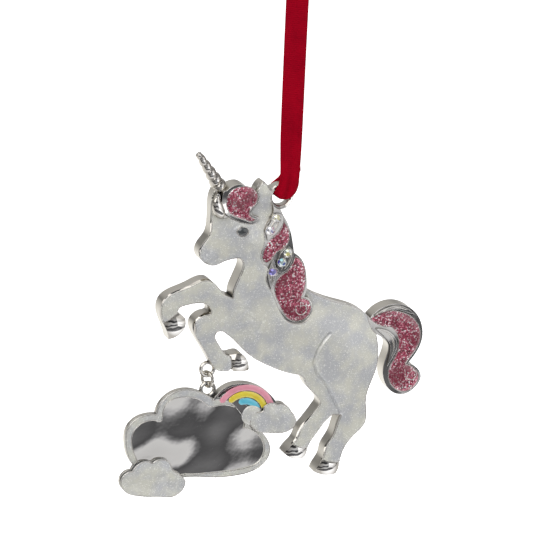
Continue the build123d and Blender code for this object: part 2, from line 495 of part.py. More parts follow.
# The relief: arched masses and rounded joints, all rising from the metal ground
with BuildPart() as relief:
    for sections in RELIEF_SECTION_SHARES.values():
        loft(mass_sections(sections, METAL_DEPTH, figure_point, FIGURE_HEIGHT))
    for cap in CAP_SHARES.values():
        cap_ball(cap, METAL_DEPTH, figure_point, FIGURE_HEIGHT)
    with BuildSketch(face_plane(METAL_DEPTH - RELIEF_ROOT)) as underside:
        Rectangle(FIGURE_HEIGHT * 2, FIGURE_HEIGHT * 2)
    extrude(underside.sketch, amount=RELIEF_LIMIT - METAL_DEPTH + RELIEF_ROOT, mode=Mode.INTERSECT)
    hair_regions([RELIEF_LIMIT] * len(HAIR_REGION_SHARES), Mode.SUBTRACT)
    add(hoof_regions.part, mode=Mode.SUBTRACT)

# Hooves: plated caps proud of the enamel, from each coronet line down to the sole
with BuildPart() as hooves:
    for coronet, corners, cap in HOOF_SHARES.values():
        slab([coronet, corners], METAL_DEPTH - RELIEF_ROOT, HOOF_DEPTH)
        cap_ball(cap, HOOF_DEPTH, figure_point, FIGURE_HEIGHT)
    add(hoof_regions.part, mode=Mode.INTERSECT)

# Hair: raised grounds with locks on them and cells for the glitter inlays
with BuildPart() as hair:
    hair_regions([MANE_DEPTH, FORELOCK_DEPTH, TAIL_DEPTH])
    for lock in (CROWN_LOCK_SHARES, MIDDLE_LOCK_SHARES, INNER_LOCK_SHARES):
        slab(lock, MANE_DEPTH - RELIEF_ROOT, LOCK_DEPTH)
    for lock in (TAIL_TOP_LOCK_SHARES, TAIL_INNER_LOCK_SHARES):
        slab(lock, TAIL_DEPTH - RELIEF_ROOT, TAIL_DEPTH + LOCK_RISE)
    slab(FORELOCK_CELL_SHARES, FORELOCK_DEPTH - CELL_DEPTH, RELIEF_LIMIT, mode=Mode.SUBTRACT)
    slab(UPPER_MANE_CELL_SHARES, MANE_DEPTH - CELL_DEPTH, RELIEF_LIMIT, mode=Mode.SUBTRACT)
    slab(LOWER_MANE_CELL_SHARES, MANE_DEPTH - CELL_DEPTH, RELIEF_LIMIT, mode=Mode.SUBTRACT)
    slab(TAIL_CELL_SHARES, TAIL_DEPTH - CELL_DEPTH, RELIEF_LIMIT, mode=Mode.SUBTRACT)

# Horn: a tapered core with tilted ridges winding up it
root_across, root_up = figure_point(HORN_ROOT_SHARE)
tip_across, tip_up = figure_point(HORN_TIP_SHARE)
horn_axis = Vector(tip_across - root_across, 0, tip_up - root_up)
horn_plane = Plane(origin=(EYE_X + root_across, 0, EYE_Z + root_up), x_dir=(0, 1, 0), z_dir=horn_axis)
with BuildPart() as horn:
    with BuildSketch(horn_plane):
        RegularPolygon(HORN_BASE_RADIUS - HORN_RIDGE_RADIUS / 2, HORN_SIDES)
    with BuildSketch(horn_plane.offset(horn_axis.length)):
        RegularPolygon(HORN_TIP_RADIUS, HORN_SIDES)
    loft(ruled=True)
    for turn in range(HORN_TURNS):
        climb_share = (turn + 0.5) / HORN_TURNS
        core_radius = HORN_BASE_RADIUS + (HORN_TIP_RADIUS - HORN_BASE_RADIUS) * climb_share
        ridge_radius = HORN_RIDGE_RADIUS * (1 - climb_share * HORN_RIDGE_TAPER)
        ridge_foot = core_radius - ridge_radius / 2
        ridge_crest = core_radius + ridge_radius / 2
        ridge_plane = horn_plane.offset(horn_axis.length * climb_share).rotated((0, HORN_TILT, 0))
        with BuildSketch(ridge_plane.offset(-ridge_radius)) as lower_foot:
            RegularPolygon(ridge_foot, HORN_SIDES)
        with BuildSketch(ridge_plane) as crest:
            RegularPolygon(ridge_crest, HORN_SIDES)
        with BuildSketch(ridge_plane.offset(ridge_radius)) as upper_foot:
            RegularPolygon(ridge_foot, HORN_SIDES)
        loft([lower_foot.sketch, crest.sketch, upper_foot.sketch], ruled=True)

# The casting: flat back, relief front, hair, horn and hooves, with its ring and its loop
with BuildPart() as unicorn_casting:
    with BuildSketch(face_plane(BACK_DEPTH)) as blank:
        Rectangle(FIGURE_HEIGHT * 2, FIGURE_HEIGHT * 2)
    extrude(blank.sketch, amount=METAL_DEPTH - BACK_DEPTH)
    add(relief.part)
    add(hooves.part)
    add(hair.part)
    slab(FIGURE_STRETCH_SHARES, BACK_DEPTH, RELIEF_LIMIT, mode=Mode.INTERSECT)
    slab(CREST_LOCK_SHARES, METAL_DEPTH - RELIEF_ROOT, FORELOCK_DEPTH)
    add(horn.part)
    extrude(eye_clearing.sketch, amount=RELIEF_LIMIT - BACK_DEPTH, mode=Mode.SUBTRACT)
    wall_ring(EYE_X, EYE_Z, EYE_RING_INNER_RADIUS, EYE_RING_WALL, EYE_RING_DEPTH, EYE_RING_BEVEL)
    wall_ring(LEG_LOOP_X, LEG_LOOP_Z, LOOP_HOLE_RADIUS, LOOP_WALL, LOOP_DEPTH, LOOP_BEVEL)
    with BuildSketch(face_plane(EYE_INLAY_DEPTH - EYE_RECESS_DEPTH)) as eye_cell:
        with Locations(figure_point(EYE_INLAY_SHARE)):
            Ellipse(EYE_HALF_WIDTH, EYE_HALF_HEIGHT)
    extrude(eye_cell.sketch, amount=RELIEF_LIMIT - EYE_INLAY_DEPTH + EYE_RECESS_DEPTH, mode=Mode.SUBTRACT)
    for place_share in CRYSTAL_PLACE_SHARES:
        with BuildSketch(face_plane(MANE_DEPTH - RELIEF_ROOT)) as collar:
            with Locations(figure_point(place_share)):
                Circle(CRYSTAL_RADIUS + CRYSTAL_COLLAR)
        extrude(collar.sketch, amount=LOCK_DEPTH - MANE_DEPTH + RELIEF_ROOT)
    for place_share in CRYSTAL_PLACE_SHARES:
        with BuildSketch(face_plane(CRYSTAL_SEAT)) as seat:
            with Locations(figure_point(place_share)):
                Circle(CRYSTAL_RADIUS + CRYSTAL_CLEARANCE)
        extrude(seat.sketch, amount=RELIEF_LIMIT - CRYSTAL_SEAT, mode=Mode.SUBTRACT)
finish(unicorn_casting.part, "unicorn_casting")

# Pearl enamel: one thin skin that follows the relief, between hooves, hair and eye
with BuildPart() as pearl_enamel:
    with BuildSketch(face_plane(METAL_DEPTH)) as enamel_ground:
        Rectangle(FIGURE_HEIGHT * 2, FIGURE_HEIGHT * 2)
    extrude(enamel_ground.sketch, amount=ENAMEL_SKIN)
    hair_regions([RELIEF_LIMIT] * len(HAIR_REGION_SHARES), Mode.SUBTRACT)
    add(hoof_regions.part, mode=Mode.SUBTRACT)
    add(Pos(0, -ENAMEL_SKIN, 0) * relief.part)
    slab(FIGURE_STRETCH_SHARES, METAL_DEPTH, RELIEF_LIMIT, mode=Mode.INTERSECT)
    extrude(eye_clearing.sketch, amount=RELIEF_LIMIT - BACK_DEPTH, mode=Mode.SUBTRACT)
    extrude(eye_cell.sketch, amount=RELIEF_LIMIT - EYE_INLAY_DEPTH + EYE_RECESS_DEPTH, mode=Mode.SUBTRACT)
    add(unicorn_casting.part, mode=Mode.SUBTRACT)
finish(largest(pearl_enamel.part), "pearl_enamel")

# Glitter inlays: each fills its own cell up to just below the metal round it
INLAY_CELLS = {
    "forelock_inlay": (FORELOCK_CELL_SHARES, FORELOCK_DEPTH),
    "upper_mane_inlay": (UPPER_MANE_CELL_SHARES, MANE_DEPTH),
    "lower_mane_inlay": (LOWER_MANE_CELL_SHARES, MANE_DEPTH),
    "tail_inlay": (TAIL_CELL_SHARES, TAIL_DEPTH),
}
for inlay_name, (cell, ground_depth) in INLAY_CELLS.items():
    with BuildPart() as inlay:
        slab(cell, ground_depth - CELL_DEPTH, ground_depth - INLAY_RECESS)
        add(unicorn_casting.part, mode=Mode.SUBTRACT)
    finish(inlay.part, inlay_name)

# Eye: a dark enamel drop in an oval cell
with BuildPart() as eye_inlay:
    extrude(eye_cell.sketch, amount=EYE_RECESS_DEPTH)
finish(eye_inlay.part, "eye_inlay")

# Crystals: a round girdle under a faceted crown and a flat table
for number, place_share in enumerate(CRYSTAL_PLACE_SHARES, start=1):
    with BuildPart() as crystal:
        with BuildSketch(face_plane(CRYSTAL_SEAT)):
            with Locations(figure_point(place_share)):
                Circle(CRYSTAL_RADIUS)
        extrude(amount=CRYSTAL_SEAT_DEPTH)
        with BuildSketch(face_plane(LOCK_DEPTH)) as girdle:
            with Locations(figure_point(place_share)):
                RegularPolygon(CRYSTAL_RADIUS, CRYSTAL_FACETS)
        with BuildSketch(face_plane(LOCK_DEPTH + CRYSTAL_CROWN)) as table:
            with Locations(figure_point(place_share)):
                RegularPolygon(CRYSTAL_TABLE_RADIUS, CRYSTAL_FACETS)
        loft([girdle.sketch, table.sketch], ruled=True)
    finish(crystal.part, "mane_crystal_" + str(number))

# Jump ring: round wire bent to a circle, with its ends butted
yaw = math.radians(RING_YAW)
ring_plane = Plane(origin=(LEG_LOOP_X, 0, RING_Z), x_dir=(math.sin(yaw), -math.cos(yaw), 0),
                   z_dir=(math.cos(yaw), math.sin(yaw), 0))
with BuildPart() as jump_ring:
    with BuildSketch(Plane(origin=ring_plane.origin, x_dir=ring_plane.x_dir, z_dir=(0, 0, 1))):
        with Locations((RING_MEAN_RADIUS, 0)):
            RegularPolygon(RING_WIRE / 2, RING_WIRE_SIDES)
    revolve(axis=Axis(ring_plane.origin, ring_plane.z_dir), revolution_arc=360 - RING_GAP_ANGLE)
finish(jump_ring.part, "jump_ring")

# Charm casting: cloud, plate, rainbow and two small clouds in one piece, with its loop
with BuildPart() as charm_casting:
    slab(BIG_CLOUD_SHARES, CHARM_BACK_DEPTH, CHARM_METAL_DEPTH, charm_point)
    slab(PLATE_SHARES, CHARM_METAL_DEPTH, CHARM_PLATE_DEPTH, charm_point)
    slab(RAINBOW_GROUND_SHARES, RAINBOW_BACK_DEPTH, RAINBOW_DEPTH, charm_point)
    for band in (PINK_BAND_SHARES, YELLOW_BAND_SHARES, BLUE_BAND_SHARES):
        slab(band, RAINBOW_DEPTH - RAINBOW_CELL_DEPTH, RELIEF_LIMIT, charm_point, Mode.SUBTRACT)
    slab(RIGHT_CLOUD_SHARES, CLOUD_DEPTH, RELIEF_LIMIT, charm_point, Mode.SUBTRACT)
    slab(LEFT_CLOUD_SHARES, LEFT_CLOUD_BACK_DEPTH, CLOUD_DEPTH, charm_point)
    slab(RIGHT_CLOUD_SHARES, RAINBOW_BACK_DEPTH, CLOUD_DEPTH, charm_point)
    wall_ring(CHARM_LOOP_X, CHARM_LOOP_Z, LOOP_HOLE_RADIUS, LOOP_WALL, LOOP_DEPTH, LOOP_BEVEL)
finish(charm_casting.part, "charm_casting")

# Small cloud enamels: puffed lobes on each cloud's ground
CLOUD_ENAMELS = {
    "left_cloud_enamel": (LEFT_CLOUD_SHARES, LEFT_CLOUD_CAP_SHARES),
    "right_cloud_enamel": (RIGHT_CLOUD_SHARES, RIGHT_CLOUD_CAP_SHARES),
}
cloud_fills = {}
for cloud_name, (cloud, caps) in CLOUD_ENAMELS.items():
    with BuildPart() as cloud_enamel:
        slab(cloud, CLOUD_DEPTH, CLOUD_DEPTH + CLOUD_SKIN, charm_point)
        for cap in caps:
            cap_ball(cap, CLOUD_DEPTH + CLOUD_SKIN, charm_point, CHARM_UNIT)
        slab(cloud, CLOUD_DEPTH, RELIEF_LIMIT, charm_point, Mode.INTERSECT)
    finish(cloud_enamel.part, cloud_name)
    cloud_fills[cloud_name] = cloud_enamel.part

# Cloud border enamel: the rim between the cloud's edge and its plate
with BuildPart() as cloud_border_enamel:
    slab(BIG_CLOUD_SHARES, CHARM_METAL_DEPTH, CHARM_METAL_DEPTH + CHARM_BORDER_ENAMEL, charm_point)
    slab(PLATE_SHARES, CHARM_METAL_DEPTH, RELIEF_LIMIT, charm_point, Mode.SUBTRACT)
    add(charm_casting.part, mode=Mode.SUBTRACT)
    for fill in cloud_fills.values():
        add(fill, mode=Mode.SUBTRACT)
border_runs = cloud_border_enamel.part.solids().sort_by(SortBy.VOLUME)[-CHARM_BORDER_RUNS:]
finish(Part(border_runs), "cloud_border_enamel")

# Rainbow enamels: one band in each cell
RAINBOW_BANDS = {"pink": PINK_BAND_SHARES, "yellow": YELLOW_BAND_SHARES, "blue": BLUE_BAND_SHARES}
for band_name, band in RAINBOW_BANDS.items():
    with BuildPart() as band_enamel:
        slab(band, RAINBOW_DEPTH - RAINBOW_CELL_DEPTH, RAINBOW_DEPTH - RAINBOW_RECESS, charm_point)
        add(charm_casting.part, mode=Mode.SUBTRACT)
        for fill in cloud_fills.values():
            add(fill, mode=Mode.SUBTRACT)
    finish(band_enamel.part, "rainbow_" + band_name + "_enamel")

# Ribbon: doubled, its two strands either side of the ring and a soft bunch through the hole
strand_depth = EYE_RING_DEPTH / 2 + RIBBON_RING_CLEARANCE
bunch_radius = EYE_RING_INNER_RADIUS - RIBBON_RING_CLEARANCE
ribbon_end_z = KNOT_HEIGHT / 2
fold_points = [(across * RIBBON_WIDTH, up * RIBBON_WIDTH) for across, up in RIBBON_FOLD_SHARES]
with BuildPart() as hanging_ribbon:
    for side in (1, -1):
        near = side * strand_depth
        far = side * (strand_depth + RIBBON_THICKNESS)
        near_top = side * RIBBON_STRAND_GAP / 2
        far_top = side * (RIBBON_STRAND_GAP / 2 + RIBBON_THICKNESS)
        with BuildSketch(Plane(origin=(0, 0, 0), x_dir=(0, 1, 0), z_dir=(1, 0, 0))) as strand:
            with BuildLine():
                Polyline((near, EYE_Z - RIBBON_WIDTH), (near, EYE_Z + RIBBON_WIDTH), (near_top, 0),
                         (near_top, ribbon_end_z), (far_top, ribbon_end_z), (far_top, 0),
                         (far, EYE_Z + RIBBON_WIDTH), (far, EYE_Z - RIBBON_WIDTH), close=True)
            make_face()
        extrude(strand.sketch, amount=RIBBON_WIDTH * 2 - EYE_X, both=True)
    with BuildSketch(face_plane(-RELIEF_LIMIT)) as silhouette:
        with BuildLine():
            Spline(*fold_points)
            Polyline(fold_points[-1], (-EYE_X + RIBBON_WIDTH / 2, EYE_DROP),
                     (-EYE_X + RIBBON_WIDTH / 2, EYE_DROP + ribbon_end_z),
                     (-EYE_X - RIBBON_WIDTH / 2, EYE_DROP + ribbon_end_z),
                     (-EYE_X - RIBBON_WIDTH / 2, EYE_DROP), fold_points[0])
        make_face()
    extrude(silhouette.sketch, amount=RELIEF_LIMIT * 2, mode=Mode.INTERSECT)
    with BuildSketch(face_plane(-strand_depth - RIBBON_THICKNESS)) as bunch:
        Circle(bunch_radius)
        with Locations((0, -bunch_radius - RIBBON_BUNCH_BOTTOM)):
            Rectangle(bunch_radius * 2, bunch_radius * 2, mode=Mode.SUBTRACT)
    extrude(bunch.sketch, amount=2 * (strand_depth + RIBBON_THICKNESS))
finish(hanging_ribbon.part, "hanging_ribbon")

# Knot: the ribbon's ends tied in one overhand knot, with two short tails
with BuildPart() as ribbon_knot:
    with BuildSketch(Plane(origin=(0, 0, KNOT_HEIGHT / 2), x_dir=(1, 0, 0), z_dir=(0, -1, 0))) as knot_section:
        Rectangle(KNOT_WIDTH, KNOT_HEIGHT / 2, align=(Align.CENTER, Align.MIN))
        chamfer(knot_section.vertices().group_by(Axis.Y)[-1], KNOT_BEVEL)
    revolve(axis=Axis((0, 0, KNOT_HEIGHT / 2), (1, 0, 0)))
    for side in (1, -1):
        tail_plane = Plane(origin=(0, side * RIBBON_STRAND_GAP, KNOT_HEIGHT / 2), x_dir=(1, 0, 0),
                           z_dir=(0, 0, 1)).rotated((0, side * KNOT_TAIL_SPLAY, 0))
        with BuildSketch(tail_plane):
            Rectangle(RIBBON_WIDTH, RIBBON_THICKNESS)
        extrude(amount=KNOT_HEIGHT / 2 + KNOT_TAIL)
    add(hanging_ribbon.part, mode=Mode.SUBTRACT)
finish(ribbon_knot.part, "ribbon_knot")
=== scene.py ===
"""Hanging unicorn ornament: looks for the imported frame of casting, enamel, ribbon and charm."""
from __future__ import annotations

import logging
import math
from dataclasses import dataclass
from enum import Enum

import bmesh
import bpy
import numpy as np
from mathutils import Matrix, Vector
from mathutils.bvhtree import BVHTree
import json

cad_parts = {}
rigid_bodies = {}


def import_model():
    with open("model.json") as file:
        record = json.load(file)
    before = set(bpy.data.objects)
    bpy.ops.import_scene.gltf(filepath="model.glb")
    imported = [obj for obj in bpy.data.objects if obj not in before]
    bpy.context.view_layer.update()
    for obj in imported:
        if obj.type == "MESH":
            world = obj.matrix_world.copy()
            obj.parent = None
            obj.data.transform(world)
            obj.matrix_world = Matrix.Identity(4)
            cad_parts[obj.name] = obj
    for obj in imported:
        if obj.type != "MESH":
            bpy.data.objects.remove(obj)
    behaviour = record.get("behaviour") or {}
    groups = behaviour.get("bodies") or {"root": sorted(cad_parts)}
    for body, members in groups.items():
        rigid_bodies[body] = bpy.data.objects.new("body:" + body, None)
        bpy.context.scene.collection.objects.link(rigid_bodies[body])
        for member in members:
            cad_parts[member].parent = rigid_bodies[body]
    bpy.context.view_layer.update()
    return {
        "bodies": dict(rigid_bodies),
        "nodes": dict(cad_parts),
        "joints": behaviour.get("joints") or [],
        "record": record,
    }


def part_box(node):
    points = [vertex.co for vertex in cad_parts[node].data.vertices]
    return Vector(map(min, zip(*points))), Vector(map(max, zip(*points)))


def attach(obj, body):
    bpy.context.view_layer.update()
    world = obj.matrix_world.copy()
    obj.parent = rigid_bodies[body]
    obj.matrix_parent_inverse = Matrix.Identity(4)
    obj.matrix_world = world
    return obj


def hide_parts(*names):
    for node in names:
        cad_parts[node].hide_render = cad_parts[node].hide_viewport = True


LOG = logging.getLogger("unicorn")
MM = 0.001
# The figure's height in metres, and the middle of its hanging eye in the row frame.
HEIGHT = 0.0887
EYE = Vector((-0.005454, 0.0, -0.064))
# The ribbon leans a little to the right on its way up.
FRONT = Vector((0, -1, 0))
BACK = Vector((0, 1, 0))
# Rays to the back start here, in front of every piece.
RAY_START_Y = -0.03
Point = tuple[float, float]
Grid = np.ndarray
Trees = tuple[BVHTree, BVHTree]
Socket, Material, Object = bpy.types.NodeSocket, bpy.types.Material, bpy.types.Object
BMesh, BMVert, BMEdge = bmesh.types.BMesh, bmesh.types.BMVert, bmesh.types.BMEdge


class Body(str, Enum):
    """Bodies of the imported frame."""

    RIBBON = "ribbon"
    FIGURE = "figure"
    RING = "ring"
    CHARM = "charm"


def place(share: Point, depth: float = 0.0) -> Vector:
    """Point of the figure: thousandths of its height from the hanging eye, metres in front of its middle."""
    return Vector((EYE.x + share[0] / 1000 * HEIGHT, -depth, EYE.z + share[1] / 1000 * HEIGHT))


def linear(code: str) -> tuple[float, float, float, float]:
    """Linear colour of an sRGB hex code.

    Args:
        code: six hex digits.

    Returns:
        Red, green, blue and alpha.
    """
    values = [int(code[i:i + 2], 16) / 255 for i in (0, 2, 4)]
    red, green, blue = (v / 12.92 if v <= 0.04045 else ((v + 0.055) / 1.055) ** 2.4 for v in values)
    return (red, green, blue, 1.0)


class Nodes:
    """A node tree, with one helper that adds every node."""

    def __init__(self, tree: bpy.types.NodeTree, output: str, coordinate: str) -> None:
        """Starts the tree anew.

        Args:
            tree: the tree.
            output: the type of its output node.
            coordinate: the coordinates that its textures read.
        """
        self.tree = tree
        self.tree.nodes.clear()
        self.output = self.add(output)
        self.coords = self.add("ShaderNodeTexCoord")
        self.place = self.coords.outputs[coordinate]

    def add(self, kind: str, inputs: dict | None = None, **settings: object) -> bpy.types.Node:
        """Adds one node.

        Args:
            kind: the node's type.
            inputs: socket name or number to a value or an output socket.
            settings: attributes of the node.

        Returns:
            The node.
        """
        node = self.tree.nodes.new(kind)
        for key, value in settings.items():
            setattr(node, key, value)
        for key, value in (inputs or {}).items():
            if isinstance(value, Socket):
                self.tree.links.new(value, node.inputs[key])
            else:
                node.inputs[key].default_value = value
        return node

    def ramp(self, factor: Socket, stops: list[tuple[float, str]]) -> Socket:
        """Colour ramp over a factor.

        Args:
            factor: the socket to read.
            stops: places and hex colours.

        Returns:
            The colour socket.
        """
        node = self.add("ShaderNodeValToRGB", {"Fac": factor})
        elements = node.color_ramp.elements
        while len(elements) < len(stops):
            elements.new(0.5)
        for element, (position, code) in zip(elements, stops):
            element.position = position
            element.color = linear(code)
        return node.outputs["Color"]

    def noise(self, scale: float, detail: float = 2.0) -> Socket:
        """Factor socket of noise with a scale in cells per metre and octaves of detail."""
        inputs = {"Vector": self.place, "Scale": scale, "Detail": detail}
        return self.add("ShaderNodeTexNoise", inputs).outputs[0]

    def remap(self, value: Socket, low: float, high: float, to_low: float, to_high: float) -> Socket:
        """Maps the range from low to high onto to_low to to_high, clamped."""
        return self.add("ShaderNodeMapRange", {0: value, 1: low, 2: high, 3: to_low, 4: to_high}).outputs[0]

    def mix(self, factor: Socket, one: object, two: object) -> Socket:
        """Mixes two colours or colour sockets by the second one's share."""
        return self.add("ShaderNodeMix", {0: factor, 6: one, 7: two}, data_type="RGBA").outputs[2]

    def bump(self, height: Socket, distance: float, strength: float = 1.0, normal: Socket | None = None) -> Socket:
        """Bump from a height socket.

        Args:
            height: the height socket.
            distance: metres of relief.
            strength: share of the effect.
            normal: a normal that it adds to.

        Returns:
            The normal socket.
        """
        inputs: dict = {"Height": height, "Distance": distance, "Strength": strength}
        if normal is not None:
            inputs["Normal"] = normal
        return self.add("ShaderNodeBump", inputs).outputs[0]

    def end(self, node: bpy.types.Node) -> None:
        """Links the last node to the output."""
        self.tree.links.new(node.outputs[0], self.output.inputs[0])


class Shader(Nodes):
    """Node tree of a new material."""

    def __init__(self, name: str) -> None:
        """Starts the material.

        Args:
            name: the material's name.
        """
        self.material = bpy.data.materials.new(name)
        self.material.use_nodes = True
        super().__init__(self.material.node_tree, "ShaderNodeOutputMaterial", "Object")

    def close(self, **inputs: object) -> Material:
        """Ends the tree with the principled shader; _ stands for a space in an input's name."""
        self.end(self.add("ShaderNodeBsdfPrincipled", {key.replace("_", " "): v for key, v in inputs.items()}))
        return self.material


@dataclass(frozen=True)
class BrightPlate:
    """Bright nickel plating: mirror fronts, satin side walls and rounded edges give the hard black and white. Its
    base colour holds painted light: a paler cream on the side walls as painted reflection, and a darker grey on
    curved faces and dark hollows as painted shade.
    """

    name: str = "bright_plate"
    front_roughness: float = 0.04
    wall_roughness: float = 0.30
    edge: float = 0.00016
    # Reach in metres of the painted shade that darkens hollows and crevices.
    crevice_shade: float = 0.0013
    ripple: float = 0.00004
    wave: float = 0.0022

    def build(self) -> Material:
        """Builds the finish.

        Returns:
            The material.
        """
        s = Shader(self.name)
        facing = s.add("ShaderNodeSeparateXYZ", {0: s.coords.outputs["Normal"]}).outputs["Y"]
        front = s.remap(facing, -0.75, -0.2, 1.0, 0.0)
        rough = s.remap(front, 0.0, 1.0, self.wall_roughness, self.front_roughness)
        # Painted shade: ambient occlusion paints hollows and crevices dark (2E2B2A) in the base colour.
        crevice_shade = s.add("ShaderNodeAmbientOcclusion", {"Distance": self.crevice_shade}, samples=8, only_local=True)
        clear = s.remap(crevice_shade.outputs["AO"], 0.35, 0.95, 0.0, 1.0)
        # Painted shade: faces turned more than a little away from straight ahead get a darker grey base colour
        # (9E9A94) than flat fronts (E0DEDC), to tone down their reflections.
        painted_curve_shade = s.mix(s.remap(facing, -0.985, -0.90, 0.0, 1.0), linear("E0DEDC"), linear("9E9A94"))
        # Painted reflection: side walls get a paler cream base colour (D3CEC2) for the white surroundings they
        # reflect, fronts take the painted curve shade, and hollows take the painted dark shade.
        tint = s.mix(clear, linear("2E2B2A"), s.mix(front, linear("D3CEC2"), painted_curve_shade))
        soft = s.add("ShaderNodeBevel", {"Radius": self.edge}, samples=4).outputs[0]
        flat = s.remap(facing, -0.9995, -0.985, 0.6, 0.02)
        wave = s.bump(s.noise(58.0, 1.0), self.wave, flat, soft)
        normal = s.bump(s.noise(300.0), self.ripple, 0.5, wave)
        return s.close(Base_Color=tint, Metallic=1.0, Roughness=rough, Normal=normal)


@dataclass(frozen=True)
class PearlEnamel:
    """Pearl enamel: ivory that turns grey-lilac in patches, mica sparks under a clear gloss coat."""

    name: str = "pearl_enamel"
    light: str = "C9C8BD"
    shade: str = "B3B4B6"

    def build(self) -> Material:
        """Builds the finish.

        Returns:
            The material.
        """
        s = Shader(self.name)
        cloud = s.remap(s.noise(210.0, 8.0), 0.38, 0.62, 0.0, 1.0)
        base = s.mix(cloud, linear(self.light), linear(self.shade))
        mica = s.add("ShaderNodeTexVoronoi", {"Vector": s.place, "Scale": 6000.0})
        spark = s.add("ShaderNodeSeparateColor", {0: mica.outputs["Color"]}).outputs[0]
        fleck = s.remap(spark, 0.86, 0.98, 0.0, 0.65)
        colour = s.mix(fleck, base, linear("FBFBF6"))
        normal = s.bump(spark, 0.00003, 0.8)
        swell = s.bump(s.noise(330.0, 1.0), 0.00003, 0.4, normal)
        return s.close(Base_Color=colour, Metallic=0.28, Roughness=0.40, Normal=swell, Coat_Weight=0.45,
                       Coat_Roughness=0.12)


@dataclass(frozen=True)
class PinkGlitter:
    """Glitter epoxy: deep pink with pale and silver flakes of about 0.3 mm under a clear dome."""

    name: str = "pink_glitter"

    def build(self) -> Material:
        """Builds the finish.

        Returns:
            The material.
        """
        s = Shader(self.name)
        flakes = s.add("ShaderNodeTexVoronoi", {"Vector": s.place, "Scale": 3300.0})
        pick = s.add("ShaderNodeSeparateColor", {0: flakes.outputs["Color"]})
        body = s.ramp(pick.outputs[0], [(0.0, "2E0612"), (0.24, "761632"), (0.52, "A12E4C"), (0.73, "C0627A"),
                                        (0.86, "E2A9B6"), (0.955, "FFFFFF")])
        cloud = s.remap(s.noise(260.0, 4.0), 0.40, 0.62, 0.0, 0.72)
        colour = s.mix(cloud, body, linear("681028"))
        normal = s.bump(pick.outputs[1], 0.00008, 0.7)
        metal = s.remap(pick.outputs[0], 0.55, 0.95, 0.1, 0.7)
        return s.close(Base_Color=colour, Metallic=metal, Roughness=0.34, Normal=normal, Coat_Weight=1.0,
                       Coat_Roughness=0.05)


@dataclass(frozen=True)
class GlossEnamel:
    """Poured enamel of one colour, with the slight pooling and wet gloss of a filled cell."""

    name: str
    light: str
    deep: str

    def build(self) -> Material:
        """Builds the finish.

        Returns:
            The material.
        """
        s = Shader(self.name)
        pool = s.remap(s.noise(420.0, 3.0), 0.3, 0.7, 0.0, 1.0)
        colour = s.mix(pool, linear(self.light), linear(self.deep))
        normal = s.bump(s.noise(700.0, 1.0), 0.00003, 0.5)
        return s.close(Base_Color=colour, Roughness=0.3, Normal=normal, Coat_Weight=1.0, Coat_Roughness=0.05)


@dataclass(frozen=True)
class StoneGlass:
    """Foiled crystal with a rainbow film: each facet catches another tint."""

    name: str
    tints: tuple[str, str, str, str]

    def build(self) -> Material:
        """Builds the finish.

        Returns:
            The material.
        """
        s = Shader(self.name)
        facet = s.add("ShaderNodeTexVoronoi", {"Vector": s.place, "Scale": 1150.0})
        pick = s.add("ShaderNodeSeparateColor", {0: facet.outputs["Color"]})
        hue = s.ramp(pick.outputs[0], [(0.0, self.tints[0]), (0.28, self.tints[1]), (0.5, "E9E8E6"),
                                       (0.72, self.tints[2]), (0.9, self.tints[3])])
        normal = s.bump(pick.outputs[1], 0.0004, 0.8)
        return s.close(Base_Color=hue, Metallic=0.8, Roughness=0.1, Normal=normal, Coat_Weight=1.0,
                       Coat_Roughness=0.02)


@dataclass(frozen=True)
class RedSatin:
    """Red satin ribbon: fine ribs across, a faint warp along and a sheen that lifts the folds."""

    name: str = "red_satin"

    def build(self) -> Material:
        """Builds the finish.

        Returns:
            The material.
        """
        s = Shader(self.name)
        ribs = s.add("ShaderNodeTexWave", {"Vector": s.place, "Scale": 640.0, "Distortion": 0.6, "Detail": 1.0},
                     bands_direction="Z").outputs["Fac"]
        warp = s.add("ShaderNodeTexWave", {"Vector": s.place, "Scale": 1300.0, "Distortion": 0.4},
                     bands_direction="X").outputs["Fac"]
        tone = s.remap(s.noise(180.0, 3.0), 0.3, 0.7, 0.0, 1.0)
        base = s.mix(tone, linear("A0021C"), linear("900019"))
        colour = s.mix(s.remap(ribs, 0.0, 1.0, 0.0, 0.25), base, linear("70000F"))
        normal = s.bump(warp, 0.00003, 0.3, s.bump(ribs, 0.00008, 0.5))
        return s.close(Base_Color=colour, Roughness=0.55, Normal=normal, Specular_IOR_Level=0.03,
                       Anisotropic=0.5)


@dataclass(frozen=True)
class Finishes:
    """All finishes of the ornament."""

    plate: Material
    pearl: Material
    glitter: Material
    eye: Material
    pink: Material
    yellow: Material
    blue: Material
    satin: Material
    stones: tuple[Material, ...]

    @staticmethod
    def build() -> Finishes:
        """Builds every finish.

        Returns:
            The finishes.
        """
        stones = (("D8C98A", "FFFFFF", "B9B6B0", "F4EFC9"), ("A7B2D8", "F4F4F8", "D98FA8", "8FA6E0"),
                  ("C8D6C4", "FFFFFF", "E9E2A0", "A9B4BE"), ("3A2FB0", "E9F2F4", "8FC4C9", "5B4BD0"),
                  ("7A76C8", "EDE4EE", "C9A2BC", "4F58B8"))
        return Finishes(BrightPlate().build(), PearlEnamel().build(), PinkGlitter().build(),
                        GlossEnamel("dark_eye_enamel", "33383A", "14181A").build(),
                        GlossEnamel("rose_enamel", "DE93A3", "D08496").build(),
                        GlossEnamel("yellow_enamel", "DCCB3C", "CDB71C").build(),
                        GlossEnamel("blue_enamel", "62BFD3", "3FA5C2").build(), RedSatin().build(),
                        tuple(StoneGlass(f"crystal_tint_{i}", t).build() for i, t in enumerate(stones, start=1)))


